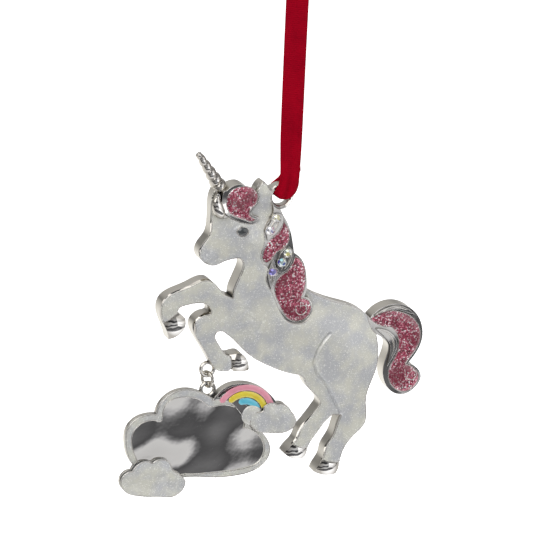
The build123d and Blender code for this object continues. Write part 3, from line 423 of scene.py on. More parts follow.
def mesh_object(name: str, bm: BMesh, material: Material, smooth: bool = True) -> Object:
    """Makes an object at the origin from mesh code.

    Args:
        name: the object's name.
        bm: the mesh, freed here.
        material: its finish.
        smooth: whether its faces shade smoothly.

    Returns:
        The linked object.
    """
    bmesh.ops.recalc_face_normals(bm, faces=bm.faces)
    mesh = bpy.data.meshes.new(name)
    bm.to_mesh(mesh)
    bm.free()
    mesh.polygons.foreach_set("use_smooth", [smooth] * len(mesh.polygons))
    mesh.materials.append(material)
    obj = bpy.data.objects.new(name, mesh)
    bpy.context.collection.objects.link(obj)
    LOG.info("%s: %d faces", name, len(mesh.polygons))
    return obj


def thicken(obj: Object, thickness: float) -> None:
    """Gives a sheet its thickness, half to each side.

    Args:
        obj: the sheet.
        thickness: metres.
    """
    solid = obj.modifiers.new("thickness", "SOLIDIFY")
    solid.thickness = thickness
    solid.offset = 0.0


def grid_faces(bm: BMesh, rows: list[list[Vector]], closed: bool = False, capped: bool = False) -> None:
    """Adds a sheet of quads.

    Args:
        bm: the mesh.
        rows: equal rows of points.
        closed: whether each row closes on itself.
        capped: whether the first and last row are filled.
    """
    verts = [[bm.verts.new(p) for p in row] for row in rows]
    for low, high in zip(verts, verts[1:]):
        count = len(low)
        for i in range(count if closed else count - 1):
            bm.faces.new((low[i], low[(i + 1) % count], high[(i + 1) % count], high[i]))
    if capped:
        bm.faces.new(verts[0])
        bm.faces.new(verts[-1])


def even(steps: int) -> list[float]:
    """Even shares from 0 to 1, with both ends."""
    return [k / steps for k in range(steps + 1)]


def turn(count: int) -> list[float]:
    """Even angles of one full turn, in radians."""
    return [math.tau * k / count for k in range(count)]


def round_row(centre: Vector, one: Vector, two: Vector, count: int) -> list[Vector]:
    """One closed oval row of points from its two half axes."""
    return [centre + one * math.cos(a) + two * math.sin(a) for a in turn(count)]


def search_tree(mesh: bpy.types.Mesh) -> BVHTree:
    """Search tree of a mesh."""
    return BVHTree.FromPolygons([v.co.copy() for v in mesh.vertices], [tuple(p.vertices) for p in mesh.polygons])


def front_y(tree: BVHTree, x: float, z: float) -> float | None:
    """Where a ray from the front meets a mesh: the y of the hit, or None."""
    hit = tree.ray_cast(Vector((x, RAY_START_Y, z)), BACK)[0]
    return None if hit is None else hit.y


def new_verts(made: dict) -> list[BMVert]:
    """Vertices that an operator made."""
    return [g for g in made["geom"] if isinstance(g, BMVert)]


@dataclass(frozen=True)
class Crease:
    """A drawn line of the relief: negative depth cuts it in, positive raises it."""

    points: tuple[Point, ...]
    depth: float
    width: float


@dataclass
class ReliefSkin:
    """Enamel poured over the relief: one smooth skin with the solid's own outline and heights."""

    node: str
    name: str
    slot: str
    body: Body
    spread: float = 0.0006
    dome: float = 0.0
    floor: str = "unicorn_casting"
    creases: tuple[Crease, ...] = ()
    pitch: float = 0.0002
    fill: float = 0.0
    edge_drop: float = 0.0
    edge_round: float = 0.0003
    edge_wire: float = 0.0
    patches: tuple[tuple[Point, float], ...] = ()

    NO_METAL = -1.0
    SKIRT = 0.00025
    WIRE_INSET = 1.15
    SHORTEST_LOOP = 16

    @staticmethod
    def probe(trees: Trees, x: float, z: float) -> tuple[float, float] | None:
        """Depths of skin and metal seen from the front.

        Args:
            trees: search trees of the enamel and of the metal.
            x: place across.
            z: place up.

        Returns:
            The two depths, or None where no skin shows.
        """
        top = front_y(trees[0], x, z)
        if top is None:
            return None
        below = front_y(trees[1], x, z)
        metal = ReliefSkin.NO_METAL if below is None else -below
        return (-top, metal) if -top > metal else None

    def blur(self, values: Grid, spread: float) -> Grid:
        """Gaussian blur.

        Args:
            values: the grid.
            spread: its width in metres.

        Returns:
            The blurred grid.
        """
        sigma = spread / self.pitch
        reach = int(sigma * 3) + 1
        kernel = np.exp(-0.5 * (np.arange(-reach, reach + 1) / sigma) ** 2)
        kernel /= kernel.sum()
        out = values
        for axis in (0, 1):
            pads = [(reach, reach) if k == axis else (0, 0) for k in (0, 1)]
            wide = np.pad(out, pads)
            out = sum(w * np.take(wide, np.arange(k, k + values.shape[axis]), axis) for k, w in enumerate(kernel))
        return out

    def shaped(self, depth: Grid, metal: Grid, mask: Grid, xs: Grid, zs: Grid) -> Grid:
        """Pours the skin: soft seams, creases, a dome or a rounded edge, never under the metal.

        Args:
            depth: the solid's depths.
            metal: the metal's depths.
            mask: where the skin is.
            xs: places across.
            zs: places up.

        Returns:
            The skin's depths.
        """
        inside = mask.astype(float)
        near = np.maximum(self.blur(inside, self.spread), 1e-4)
        smooth = np.where(mask, depth, 0.0)
        for _ in range(3 if self.fill > 0 else 1):
            if self.fill > 0:
                wide = np.maximum(self.blur(inside, self.fill), 1e-4)
                smooth = np.where(mask, np.maximum(smooth, self.blur(smooth, self.fill) / wide), 0.0)
            smooth = np.where(mask, self.blur(smooth, self.spread) / near, 0.0)
        for crease in self.creases:
            distance = np.full(smooth.shape, 1.0)
            for first, last in zip(crease.points, crease.points[1:]):
                pa, pb = place(first), place(last)
                dx, dz = pb.x - pa.x, pb.z - pa.z
                t = np.clip(((xs - pa.x) * dx + (zs - pa.z) * dz) / (dx * dx + dz * dz), 0, 1)
                distance = np.minimum(distance, np.hypot(xs - pa.x - t * dx, zs - pa.z - t * dz))
            smooth = smooth + crease.depth * np.exp(-(distance / crease.width) ** 2)
        clear, most = 0.00005, 0.0008
        lift = np.where(mask, np.clip(metal + clear - smooth, 0.0, most), 0.0)
        for _ in range(int(1.4 * self.spread / self.pitch) + 1):
            rolled = [np.roll(lift, way, (0, 1)) for way in ((1, 0), (-1, 0), (0, 1), (0, -1))]
            lift = np.maximum.reduce([lift] + rolled)
        smooth = smooth + self.blur(lift, self.spread)
        inner = np.clip(self.blur(inside, self.edge_round) * 2 - 1, 0, 1)
        dome_shoulder = 0.0007
        smooth = smooth + self.dome * np.clip(self.blur(inside, dome_shoulder) * 2 - 1, 0, 1) ** 0.6
        return smooth - self.edge_drop * (1 - np.sqrt(np.clip(1 - (1 - inner) ** 2, 0, 1)))

    def patch(self, trees: Trees, xs: Grid, zs: Grid, depth: Grid,
              metal: Grid, mask: Grid) -> Grid:
        """Closes the bare corners of the plate at the outline, at the depth of the enamel around them.

        Args:
            trees: the two search trees.
            xs: places across.
            zs: places up.
            depth: the solid's depths, filled here.
            metal: the metal's depths, filled here.
            mask: where the skin is, filled here.

        Returns:
            Where the skin's wall goes down to the metal.
        """
        reach, thinnest = 0.0008, 0.0005
        region = np.zeros(mask.shape, bool)
        near = self.blur(mask.astype(float), reach)
        level = self.blur(np.where(mask, depth, 0.0), reach) / np.maximum(near, 1e-6)
        for share, radius in self.patches:
            middle = place(share)
            circle = np.hypot(xs - middle.x, zs - middle.z) < radius
            region |= circle
            for i, j in zip(*np.nonzero(circle & ~mask)):
                below = front_y(trees[1], xs[i, 0], zs[0, j])
                if below is not None and thinnest < -below < level[i, j]:
                    mask[i, j], depth[i, j], metal[i, j] = True, level[i, j], -below
        return region

    def edging(self, rim: list[BMEdge], outward: dict[BMVert, Vector], plate: Material) -> None:
        """The thin line of bare plating that frames the enamel.

        Args:
            rim: the skin's outline edges.
            outward: the way out at each outline vertex.
            plate: the plating.
        """
        # A dict, not a set: its order is the mesh's own, the same in every run.
        free = dict.fromkeys(rim)
        bm = bmesh.new()
        while free:
            start, here = free.popitem()[0].verts
            loop = [start, here]
            while here is not start:
                onward = next((e for e in here.link_edges if e in free), None)
                if onward is None:
                    break
                del free[onward]
                here = onward.other_vert(here)
                loop.append(here)
            if here is not start or len(loop) < self.SHORTEST_LOOP:
                continue
            line = [v.co - outward[v] * self.edge_wire * self.WIRE_INSET for v in loop[:-1]]
            count = len(line)
            for _ in range(4):
                line = [(line[k - 1] + line[k] * 2 + line[(k + 1) % count]) / 4 for k in range(count)]
            rows = []
            for k in range(count + 1):
                k %= count
                across = (line[(k + 1) % count] - line[k - 1]).cross(BACK).normalized()
                rows.append(round_row(line[k], across * self.edge_wire, FRONT * self.edge_wire, 8))
            grid_faces(bm, rows, closed=True)
        bmesh.ops.remove_doubles(bm, verts=bm.verts, dist=1e-7)
        wire = mesh_object(f"{self.name}_edging", bm, plate)
        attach(wire, self.body.value)

    def build(self, frame: dict, material: Material, plate: Material) -> Object:
        """Builds the skin over the solid's front.

        Args:
            frame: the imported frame.
            material: the finish.
            plate: the plating of its edging.

        Returns:
            The piece, riding and replacing its solid.
        """
        pitch = self.pitch
        low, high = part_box(self.node)
        x0, z0 = low[0] - 4 * pitch, low[2] - 4 * pitch
        nx, nz = (int((high[k] - low[k]) / pitch) + 10 for k in (0, 2))
        trees = tuple(search_tree(frame["nodes"][node].data) for node in (self.node, self.floor))
        depth, metal = np.zeros((nx, nz)), np.full((nx, nz), self.NO_METAL)
        mask = np.zeros((nx, nz), bool)
        for i in range(nx):
            for j in range(nz):
                seen = self.probe(trees, x0 + i * pitch, z0 + j * pitch)
                if seen:
                    mask[i, j], depth[i, j], metal[i, j] = True, seen[0], seen[1]
        xs, zs = x0 + np.arange(nx)[:, None] * pitch, z0 + np.arange(nz)[None, :] * pitch
        region = self.patch(trees, xs, zs, depth, metal, mask)
        field_m = self.shaped(depth, metal, mask, xs, zs)
        slope_x, slope_z = np.gradient(self.blur(mask.astype(float), 2 * pitch))
        cell = mask[:-1, :-1] & mask[1:, :-1] & mask[:-1, 1:] & mask[1:, 1:]
        bm = bmesh.new()
        verts: dict[tuple[int, int], BMVert] = {}
        for i, j in zip(*np.nonzero(cell)):
            corners = []
            for key in ((i, j), (i + 1, j), (i + 1, j + 1), (i, j + 1)):
                if key not in verts:
                    verts[key] = bm.verts.new((xs[key[0], 0], -field_m[key], zs[0, key[1]]))
                corners.append(verts[key])
            bm.faces.new(corners)
        outward: dict[BMVert, Vector] = {}
        for (i, j), vert in verts.items():
            if not vert.is_boundary:
                continue
            out = Vector((-slope_x[i, j], 0, -slope_z[i, j]))
            outward[vert] = out
            if out.length < 1e-9:
                continue
            out.normalize()
            good, bad = 0.0, 1.6 * pitch
            for _ in range(6):
                middle = (good + bad) / 2
                if self.probe(trees, vert.co.x + out.x * middle, vert.co.z + out.z * middle):
                    good = middle
                else:
                    bad = middle
            vert.co += out * good
        rim = [e for e in bm.edges if e.is_boundary]
        if self.edge_wire > 0:
            self.edging(rim, outward, plate)
        deep = {tuple(vert.co): field_m[key] - metal[key] for key, vert in verts.items()
                if region[key] and metal[key] > 0}
        for vert in new_verts(bmesh.ops.extrude_edge_only(bm, edges=rim)):
            vert.co.y += deep.get(tuple(vert.co), self.SKIRT)
        obj = mesh_object(self.name, bm, material)
        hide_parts(self.node)
        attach(obj, self.body.value)
        return obj


@dataclass(frozen=True)
class Lock:
    """How strands of one kind lie: metres in front, half thickness, width for height, or laid on the glitter."""

    depth: float
    thick: float = 0.00026
    wide: float = 1.0
    laid: bool = False


@dataclass
class Figure:
    """The unicorn: plated casting, enamel skin, glitter cells, eye, crystals, horn and hair strands."""

    finishes: Finishes
    eye_rise: float = 0.0007
    eye_wire: float = 0.00016
    horn_root: float = 0.00176
    horn_tip: float = 0.00066
    horn_ridge: float = 0.00042
    horn_groove: float = 0.00005
    horn_turns: float = 5.5

    CREASES = (
        Crease(((-232, -137), (-236, -143), (-233, -148)), -0.00035, 0.00045),
        Crease(((-247, -160), (-232, -163), (-214, -160), (-203, -155)), -0.0003, 0.00035),
        Crease(((137, -417), (117, -437), (100, -465), (92, -501), (104, -536), (130, -572),
                (152, -618), (175, -664)), -0.0006, 0.00038),
        Crease(((146, -417), (126, -440), (110, -468), (102, -501), (114, -532), (140, -568),
                (163, -614)), 0.00012, 0.0011),
        Crease(((-86, -386), (-74, -374), (-66, -352)), -0.00035, 0.0005),
        Crease(((-150, -318), (-118, -322), (-92, -345)), -0.0003, 0.0008),
        Crease(((-146, -76), (-128, -66), (-106, -72)), 0.0003, 0.0004),
        Crease(((-146, -90), (-126, -98), (-104, -90)), 0.00025, 0.0004),
    )

    def build(self, frame: dict) -> None:
        """Builds all new pieces of the figure and dresses its kept solids.

        Args:
            frame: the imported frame.
        """
        f = self.finishes
        relief = ReliefSkin("pearl_enamel", "relief_enamel", "pearl_enamel", Body.FIGURE, creases=self.CREASES,
                            fill=0.0016, edge_drop=0.00032, edge_round=0.0007, edge_wire=0.00013,
                            patches=(((-97, -452), 0.0024), ((70, -555), 0.0010)))
        relief.build(frame, f.pearl, f.plate)
        cells = {}
        for node in ("forelock_inlay", "upper_mane_inlay", "lower_mane_inlay", "tail_inlay"):
            skin = ReliefSkin(node, node.replace("inlay", "glitter"), "pink_glitter", Body.FIGURE, spread=0.0004,
                              dome=0.0005, pitch=0.00015, edge_wire=0.00011)
            cells[node] = search_tree(skin.build(frame, f.glitter, f.plate).data)
        self.eye()
        self.horn()
        self.strands([cells["lower_mane_inlay"], cells["tail_inlay"]])
        dress(frame, "unicorn_casting", f.plate)
        for number, stone in enumerate(f.stones, start=1):
            dress(frame, f"mane_crystal_{number}", stone)

    def eye(self) -> None:
        """The eye's enamel drop: an oval dome that slopes into its cell, in a ring of bare plating."""
        low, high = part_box("eye_inlay")
        cx, cz = (low[0] + high[0]) / 2, (low[2] + high[2]) / 2
        half_x, half_z, front = (high[0] - low[0]) / 2, (high[2] - low[2]) / 2, low[1]
        wire, proud = self.eye_wire, 0.00002
        bm = dome(Vector((cx, front, cz)), Vector((half_x, self.eye_rise, half_z)), high[1] - front)
        eye = mesh_object("eye_drop", bm, self.finishes.eye)
        rim = bmesh.new()
        rows = []
        for a in turn(48) + [math.tau]:
            middle = Vector((cx + half_x * math.cos(a), front - proud, cz + half_z * math.sin(a)))
            rows.append(round_row(middle, Vector((math.cos(a), 0, math.sin(a))) * wire, FRONT * wire, 8))
        grid_faces(rim, rows, closed=True)
        bmesh.ops.remove_doubles(rim, verts=rim.verts, dist=1e-7)
        ring = mesh_object("eye_edging", rim, self.finishes.plate)
        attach(ring, Body.FIGURE.value)
        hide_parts("eye_inlay")
        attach(eye, Body.FIGURE.value)

    def horn(self) -> None:
        """Twisted horn: one rope-like ridge that winds up the plated cone."""
        root, tip = place((-174.5, 35.5)), place((-242.2, 147.7))
        axis = tip - root
        other = axis.cross(FRONT).normalized()
        bm = bmesh.new()
        rows = []
        around = 28
        for s in even(150):
            core = (self.horn_root * (1 - s) + self.horn_tip * s) * (1.0 if s < 0.985 else 0.6)
            row = []
            for k, angle in enumerate(turn(around)):
                ridge = math.sin(math.pi * ((s * self.horn_turns - k / around) % 1.0)) ** 0.7
                radius = core + (self.horn_ridge * ridge - self.horn_groove) * (1 - 0.5 * s)
                row.append(root + axis * s + (FRONT * math.cos(angle) + other * math.sin(angle)) * radius)
            rows.append(row)
        grid_faces(bm, rows, closed=True, capped=True)
        horn = mesh_object("twisted_horn", bm, self.finishes.plate)
        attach(horn, Body.FIGURE.value)

    def strands(self, cells: list[BVHTree]) -> None:
        """Fine raised strands along the plated locks, and the curls' lines on the glitter.

        Args:
            cells: search trees of the glitter cells with a curl.
        """
        mane, fore, tail = Lock(0.0036), Lock(0.0033, 0.00112, 1.4), Lock(0.0029)
        curl = Lock(0.0031, 0.00015, laid=True)
        runs = (
            (((-12, -54), (-18, -72), (-30, -88), (-43, -104)), mane),
            (((-22, -52), (-30, -66), (-40, -82), (-48, -100)), mane),
            (((18, -152), (20, -170), (13, -190), (1, -208)), mane),
            (((6, -155), (2, -170), (-3, -190), (-8, -208)), mane),
            (((-36, -190), (-33, -212), (-34, -235), (-38, -252)), mane),
            (((-42, -205), (-42, -222), (-42, -238)), mane),
            (((-197, 28), (-199, 10), (-196, -10), (-186, -26), (-176, -34)), fore),
            (((34, -322), (37, -340), (51, -350), (66, -343), (67, -328), (56, -322),
              (49, -330)), curl),
            (((376, -562), (378, -580), (393, -590), (409, -583), (410, -568), (399, -562),
              (392, -570)), curl),
            (((300, -374.5), (322, -366.5), (350, -364.5), (380, -375)), tail),
            (((300, -428), (322, -440), (335, -458), (340, -480), (333, -510)), tail),
        )
        bm = bmesh.new()
        for points, lock in runs:
            line = smooth_line([place(p, lock.depth) for p in points], 10)
            if lock.laid:
                for point in line:
                    hits = [front_y(cell, point.x, point.z) for cell in cells]
                    point.y = min((y for y in hits if y is not None), default=point.y)
            rows = []
            for index, centre in enumerate(line):
                s = index / (len(line) - 1)
                ahead = line[min(index + 1, len(line) - 1)] - line[max(index - 1, 0)]
                radius = lock.thick * math.sin(math.pi * min(max(s, 0.06), 0.94)) ** 0.6
                across = ahead.cross(BACK).normalized() * lock.wide * radius
                rows.append(round_row(centre, across, FRONT * 0.8 * radius, 8))
            grid_faces(bm, rows, closed=True, capped=True)
        strands = mesh_object("lock_strands", bm, self.finishes.plate)
        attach(strands, Body.FIGURE.value)


def dome(centre: Vector, half: Vector, skirt: float) -> BMesh:
    """Front half of an oval ball, with a short wall behind it.

    Args:
        centre: middle of its base.
        half: half its width, its rise and half its height.
        skirt: depth of the wall behind the base.

    Returns:
        The mesh in the making.
    """
    bm = bmesh.new()
    turned = Matrix.Translation(centre) @ Matrix.Diagonal((*half, 1)) @ Matrix.Rotation(math.pi / 2, 4, "X")
    bmesh.ops.create_uvsphere(bm, u_segments=48, v_segments=24, radius=1.0, matrix=turned)
    bmesh.ops.bisect_plane(bm, geom=bm.verts[:] + bm.edges[:] + bm.faces[:], plane_co=centre, plane_no=BACK,
                           dist=1e-7, clear_outer=True)
    wall = bmesh.ops.extrude_edge_only(bm, edges=[e for e in bm.edges if e.is_boundary])
    bmesh.ops.translate(bm, verts=new_verts(wall), vec=BACK * skirt)
    return bm


def smooth_line(points: list[Vector], steps: int) -> list[Vector]:
    """Even curve through points.

    Args:
        points: the points it passes.
        steps: steps from each point to the next.

    Returns:
        Points along the curve.
    """
    line = []
    padded = [points[0] * 2 - points[1]] + list(points) + [points[-1] * 2 - points[-2]]
    for a, b, c, d in zip(padded, padded[1:], padded[2:], padded[3:]):
        for t in even(steps)[:-1]:
            line.append(0.5 * (2 * b + (c - a) * t + (2 * a - 5 * b + 4 * c - d) * t * t
                               + (3 * b - a - 3 * c + d) * t ** 3))
    line.append(points[-1].copy())
    return line


def dress(frame: dict, node: str, material: Material) -> None:
    """Puts a finish on every slot of a kept solid.

    Args:
        frame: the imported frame.
        node: the solid's node.
        material: the finish.
    """
    obj = frame["nodes"][node]
    if not obj.material_slots:
        obj.data.materials.append(material)
    for slot in obj.material_slots:
        slot.material = material


@dataclass
class Ribbon:
    """The satin ribbon: two strands, a gathered fold through the eye, and the knot of its ends."""

    finishes: Finishes
    thickness: float = 0.00024
    pleats: float = 2.3
    pleat_phase: float = 0.13
    knot_height: float = 0.0026
    knot_thickness: float = 0.0002
    bundle_length: float = 0.0076
    bundle_radius: float = 0.0021
    wrap_radius: float = 0.00238
    wrap_half_width: float = 0.00115
    wrap_half_thick: float = 0.00016
    tail_length: float = 0.0112
    tail_width: float = 0.0058

    ROWS = (
        # Left x and z, right x and z, y, sag and pleat, in mm from the eye.
        (2.3, 66, 8.6, 66, -0.3, 0, 0),
        (1.75, 52, 7.75, 52, -0.24, 0, 0.02),
        (0.95, 34, 6.8, 34, -0.26, 0, 0.03),
        (0.2, 17, 5.95, 17, -0.45, 0, 0.05),
        (-0.1, 10.5, 5.35, 10.5, -1.05, 0, 0.08),
        (-0.3, 7, 4.9, 7, -1.65, 0, 0.12),
        (-0.6, 4.6, 4.6, 4.8, -2.1, 0.2, 0.16),
        (-1.5, 2.5, 4.3, 2.6, -2.25, 0.7, 0.22),
        (-2.25, 1.6, 3.55, 0.8, -2.15, 1.3, 0.24),
        (-2, 1.1, 2.4, 0, -1.75, 1.1, 0.24),
        (-1.7, 0.6, 1.8, -0.2, -1, 0.7, 0.24),
        (-1.6, 0.6, 1.7, -0.2, 0, 0.6, 0.24),
        (-1.7, 0.6, 1.8, -0.1, 1, 0.7, 0.24),
        (-2, 0.9, 2.4, 0.3, 1.75, 1, 0.22),
        (-1.6, 2.5, 3.9, 2.6, 2.2, 0.6, 0.18),
        (-0.6, 4.6, 4.7, 4.8, 2.1, 0.1, 0.12),
        (-0.2, 7, 5, 7, 1.65, 0, 0.1),
        (0, 10.5, 5.45, 10.5, 1.05, 0, 0.06),
        (0.25, 17, 6, 17, 0.45, 0, 0.04),
        (0.95, 34, 6.85, 34, 0.26, 0, 0.03),
        (1.75, 52, 7.75, 52, 0.24, 0, 0.02),
        (2.3, 66, 8.6, 66, 0.3, 0, 0),
    )

    def build(self) -> None:
        columns, steps = 32, 9
        lanes = []
        for t in even(columns):
            u = t - 0.5
            lane = []
            for xl, zl, xr, zr, y, sag, pleat in self.ROWS:
                bend = sag * (1 - (2 * u) ** 2)
                fold = pleat * math.sin(math.tau * (self.pleats * u + self.pleat_phase)) * (-1 if y > 0 else 1)
                narrow = 1.0 if abs(y) > 1.6 else 0.8
                # The back strand shows a little to the right of the front one.
                behind = 0.7 * y if y > 0 and zl > 4 else 0.0
                lane.append(Vector((EYE.x + (xl + (xr - xl) * t + behind) * MM, (y + fold * narrow) * MM,
                                    EYE.z + (zl + (zr - zl) * t - bend) * MM)))
            lanes.append(smooth_line(lane, steps))
        rows = [[lane[k] for lane in lanes] for k in range(len(lanes[0]))]
        bm = bmesh.new()
        grid_faces(bm, rows)
        ribbon = mesh_object("satin_ribbon", bm, self.finishes.satin)
        thicken(ribbon, self.thickness)
        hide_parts("hanging_ribbon")
        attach(ribbon, Body.RIBBON.value)
        knot = self.knot()

    def knot(self) -> Object:
        """The overhand knot: a pinched bundle, three soft wraps and two slanted tails.

        Returns:
            The knot.
        """
        bm = bmesh.new()
        centre = Vector((0, 0, self.knot_height))
        rows = []
        for t in even(24):
            radius = self.bundle_radius * math.sin(math.pi * min(max(t, 0.03), 0.97)) ** 0.45
            middle = centre + Vector(((t - 0.5) * self.bundle_length, 0, 0))
            rows.append(round_row(middle, BACK * radius, Vector((0, 0, radius)), 32))
        grid_faces(bm, rows, closed=True, capped=True)
        for lane, (shift, slant) in enumerate(((-0.0021, 0.0009), (0.0002, -0.0008), (0.0023, 0.0006))):
            band = []
            for a in turn(40) + [math.tau]:
                radius = self.wrap_radius + 0.0001 * math.sin(3 * a + lane)
                out = Vector((0, math.cos(a), math.sin(a)))
                middle = centre + Vector((shift + slant * math.cos(a), out.y * radius, out.z * radius * 0.99))
                row = []
                for w in (-1.0, -0.8, -0.4, 0.0, 0.4, 0.8, 1.0, 0.6, 0.0, -0.6):
                    lift = self.wrap_half_thick if len(row) < 7 else -self.wrap_half_thick
                    row.append(middle + Vector((w * self.wrap_half_width, 0, 0)) + out * (lift * (1 - abs(w) ** 4)))
                band.append(row)
            grid_faces(bm, band, closed=True)
        for side in (1, -1):
            tail, bow, tilt = [], side * 0.0003, side * -0.0014
            for t in even(14):
                middle = Vector((side * 0.0024 * t ** 1.3, side * (0.0005 + 0.0004 * math.sin(2.4 * t)),
                                 centre.z + self.tail_length * t))
                tail.append([middle + Vector((u * self.tail_width, bow * math.cos(5 * u), tilt * u * t))
                             for u in (k - 0.5 for k in even(12))])
            grid_faces(bm, tail)
        bmesh.ops.remove_doubles(bm, verts=bm.verts, dist=1e-6)
        knot = mesh_object("ribbon_overhand_knot", bm, self.finishes.satin)
        thicken(knot, self.knot_thickness)
        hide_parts("ribbon_knot")
        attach(knot, Body.RIBBON.value)
        return knot


@dataclass
class Charm:
    """The cloud charm and the jump ring that carries it."""

    finishes: Finishes
    ring_radius: float = 0.001915
    ring_wire: float = 0.000435
    ring_yaw_deg: float = 25.0
    ring_bent_deg: float = 357.0
    band_depth: float = 0.00131
    band_rise: float = 0.00014
    band_wall: float = 0.0003

    def build(self, frame: dict) -> None:
        """Builds the ring, the cloud skins and the rainbow, and dresses the casting.

        Args:
            frame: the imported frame.
        """
        f = self.finishes
        self.ring()
        puffed = {"fill": 0.0006, "edge_drop": 0.00025}
        for node, name, form in (("left_cloud_enamel", "left_cloud_skin", puffed),
                                 ("right_cloud_enamel", "right_cloud_skin", puffed),
                                 ("cloud_border_enamel", "cloud_rim_skin", {"dome": 0.0002})):
            skin = ReliefSkin(node, name, "pearl_enamel", Body.CHARM, spread=0.0003,
                              floor="charm_casting", pitch=0.00015, edge_wire=0.00014, **form)
            skin.build(frame, f.pearl, f.plate)
        self.lobe()
        self.band("rainbow_pink_enamel", "pink_band", "rose_enamel", f.pink, 8.30, 6.70, 146.0, 10.0)
        self.band("rainbow_yellow_enamel", "yellow_band", "yellow_enamel", f.yellow, 6.50, 4.90, 134.0, 14.0)
        self.band("rainbow_blue_enamel", "blue_band", "blue_enamel", f.blue, 4.68, 3.00, 112.0, 16.0)
        dress(frame, "charm_casting", f.plate)

    def band(self, node: str, name: str, slot: str, material: Material, outer: float, inner: float,
             left: float, right: float) -> None:
        """One rainbow band: a domed arc of enamel with round ends.

        Args:
            node: the solid it stands for.
            name: the piece's name.
            slot: the record's material slot; not used.
            material: its finish.
            outer: outer radius in mm.
            inner: inner radius in mm.
            left: angle of its left end in degrees.
            right: angle of its right end in degrees.
        """
        centre = Vector((EYE.x - 0.00993, 0, EYE.z - 0.05705))
        middle, half = (outer + inner) / 2 * MM, (outer - inner) / 2 * MM
        wall = BACK * self.band_wall
        bm = bmesh.new()
        rows = []
        for s in even(48):
            a = math.radians(left + (right - left) * s)
            end = min(s, 1 - s) * abs(math.radians(left - right)) * middle
            width = half * (1.0 if end > half else max(0.02, math.sqrt(max(0.0, 1 - (1 - end / half) ** 2))))
            way = Vector((math.cos(a), 0, math.sin(a)))
            row = [centre + way * (middle + width * u) + FRONT * (self.band_depth + self.band_rise * (1 - u * u))
                   for u in (2 * k - 1 for k in even(10))]
            rows.append([row[0] + wall] + row + [row[-1] + wall])
        grid_faces(bm, rows)
        piece = mesh_object(name, bm, material)
        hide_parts(node)
        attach(piece, Body.CHARM.value)

    def lobe(self) -> None:
        """The right cloud's low lobe, tucked between its body, the big cloud's rim and the blue band."""
        centre, half, skirt = Vector((-0.0133, -0.00128, -0.1212)), Vector((0.0027, 0.00055, 0.0027)), 0.0002
        lobe = mesh_object("right_cloud_lobe", dome(centre, half, skirt), self.finishes.pearl)
        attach(lobe, Body.CHARM.value)

    def ring(self) -> None:
        """Round wire bent to a ring with its ends butted."""
        low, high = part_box("jump_ring")
        centre = (Vector(low) + Vector(high)) / 2
        wire, yaw, bent = self.ring_wire, math.radians(self.ring_yaw_deg), math.radians(self.ring_bent_deg)
        out = Vector((math.sin(yaw), -math.cos(yaw), 0))
        normal = Vector((math.cos(yaw), math.sin(yaw), 0))
        bm = bmesh.new()
        rows = []
        for a in (bent * s for s in even(72)):
            arm = out * math.cos(a) + normal.cross(out) * math.sin(a)
            rows.append(round_row(centre + arm * self.ring_radius, arm * wire, normal * wire, 20))
        grid_faces(bm, rows, closed=True, capped=True)
        ring = mesh_object("wire_ring", bm, self.finishes.plate)
        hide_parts("jump_ring")
        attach(ring, Body.RING.value)


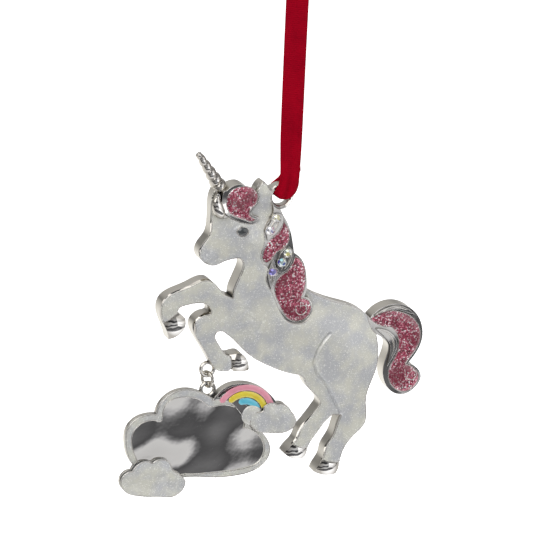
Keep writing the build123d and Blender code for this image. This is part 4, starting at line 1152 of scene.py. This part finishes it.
@dataclass
class Studio:
    """Pale floor, soft lights, white surroundings and the camera of the photograph's angle."""

    floor_z: float = -0.30
    glossy_floor: float = 0.55
    world_strength: float = 0.75

    BANDS = [(0.0, "9A9A9C"), (0.14, "BCBCBE"), (0.225, "969698"), (0.255, "78787A"), (0.285, "606062"),
             (0.30, "A0A0A2"), (0.309, "E0E0E2"), (0.32, "FFFFFF"), (0.360, "F4F4F4"), (0.372, "808082"),
             (0.392, "4A4A4C"), (0.43, "606064"), (0.455, "E0E0E2"), (0.53, "FFFFFF"), (0.575, "3E3E42"),
             (0.63, "4E4E52"), (0.67, "D8D8DA"), (0.84, "E6E6E8"), (0.92, "3E3E42"), (1.0, "CCCCCE")]

    def build(self) -> None:
        """Builds the stage, the lights, the world and the camera."""
        self.floor()
        self.light("key", (-0.55, -0.50, 0.55), 0.90, 7.1)
        self.light("fill", (0.60, -0.60, 0.05), 0.80, 2.1)
        self.light("top", (0.0, 0.10, 0.70), 0.90, 3.4)
        self.world()
        self.camera()

    def floor(self) -> None:
        """The floor far below the hanging object, white to the camera."""
        shader = Shader("pale_floor")
        diffuse = shader.add("ShaderNodeBsdfDiffuse", {"Color": linear("E9E9E9")})
        rays = shader.add("ShaderNodeLightPath").outputs
        part = shader.add("ShaderNodeMath", {0: rays["Is Glossy Ray"], 1: self.glossy_floor}, operation="MULTIPLY")
        seen = shader.add("ShaderNodeMath", {0: rays["Is Camera Ray"], 1: part.outputs[0]}, operation="MAXIMUM")
        glow = shader.add("ShaderNodeEmission", {"Color": linear("FFFFFF"), "Strength": seen.outputs[0]})
        shader.end(shader.add("ShaderNodeAddShader", {0: diffuse.outputs[0], 1: glow.outputs[0]}))
        bm = bmesh.new()
        bmesh.ops.create_grid(bm, x_segments=1, y_segments=1, size=1.6,
                              matrix=Matrix.Translation((0, 1.35, self.floor_z)))
        floor = mesh_object("pale_floor", bm, shader.material, smooth=False)

    def light(self, name: str, place_m: tuple[float, float, float], size: float, power: float) -> None:
        """One soft area light aimed at the figure.

        Args:
            name: the light's name.
            place_m: its place.
            size: side in metres.
            power: watts.
        """
        data = bpy.data.lights.new(name, "AREA")
        data.size = size
        data.energy = power
        lamp = bpy.data.objects.new(name, data)
        lamp.location = place_m
        aim = Vector((0, 0, -0.10)) - Vector(place_m)
        lamp.rotation_euler = aim.to_track_quat("-Z", "Y").to_euler()
        bpy.context.collection.objects.link(lamp)

    def world(self) -> None:
        """White to the camera, bands of light and shade to the plating."""
        world = bpy.data.worlds.new("studio")
        bpy.context.scene.world = world
        world.use_nodes = True
        s = Nodes(world.node_tree, "ShaderNodeOutputWorld", "Generated")
        height = s.add("ShaderNodeSeparateXYZ", {0: s.place}).outputs["Z"]
        level = s.remap(height, -1.0, 1.0, 0.0, 1.0)
        wander = s.remap(s.noise(1.6, 1.0), 0.0, 1.0, -0.10, 0.10)
        total = s.add("ShaderNodeMath", {0: level, 1: wander}).outputs[0]
        soft = s.add("ShaderNodeBackground", {0: s.ramp(total, self.BANDS), 1: self.world_strength})
        white = s.add("ShaderNodeBackground", {0: linear("FFFFFF"), 1: 1.0})
        seen = s.add("ShaderNodeLightPath").outputs["Is Camera Ray"]
        s.end(s.add("ShaderNodeMixShader", {0: seen, 1: soft.outputs[0], 2: white.outputs[0]}))

    def camera(self) -> None:
        """The camera at 20 degrees to the left and 18 degrees above, one metre away."""
        right = Vector((0.940, -0.342, 0.0))
        up = Vector((0.1057, 0.2904, 0.951))
        toward = Vector((-0.3253, -0.8937, 0.309))
        mid_y, off_right, off_up = -0.0017, 0.002925, 0.01825
        aim = Vector((EYE.x, mid_y, EYE.z)) - right * off_right - up * off_up
        data = bpy.data.cameras.new("camera")
        data.lens = 266.7
        data.clip_start = 0.05
        camera = bpy.data.objects.new("camera", data)
        camera.location = aim + toward.normalized()
        camera.rotation_euler = (-toward).to_track_quat("-Z", "Y").to_euler()
        bpy.context.collection.objects.link(camera)
        bpy.context.scene.camera = camera


def main() -> None:
    """Builds every piece in order."""
    logging.basicConfig(level=logging.INFO)
    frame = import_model()
    finishes = Finishes.build()
    figure, ribbon, charm = Figure(finishes), Ribbon(finishes), Charm(finishes)
    Studio().build()
    ribbon.build()
    figure.build(frame)
    charm.build(frame)
    bpy.context.scene.view_settings.view_transform = "Standard"
    LOG.info("boxes written")


if __name__ == "__main__":
    main()
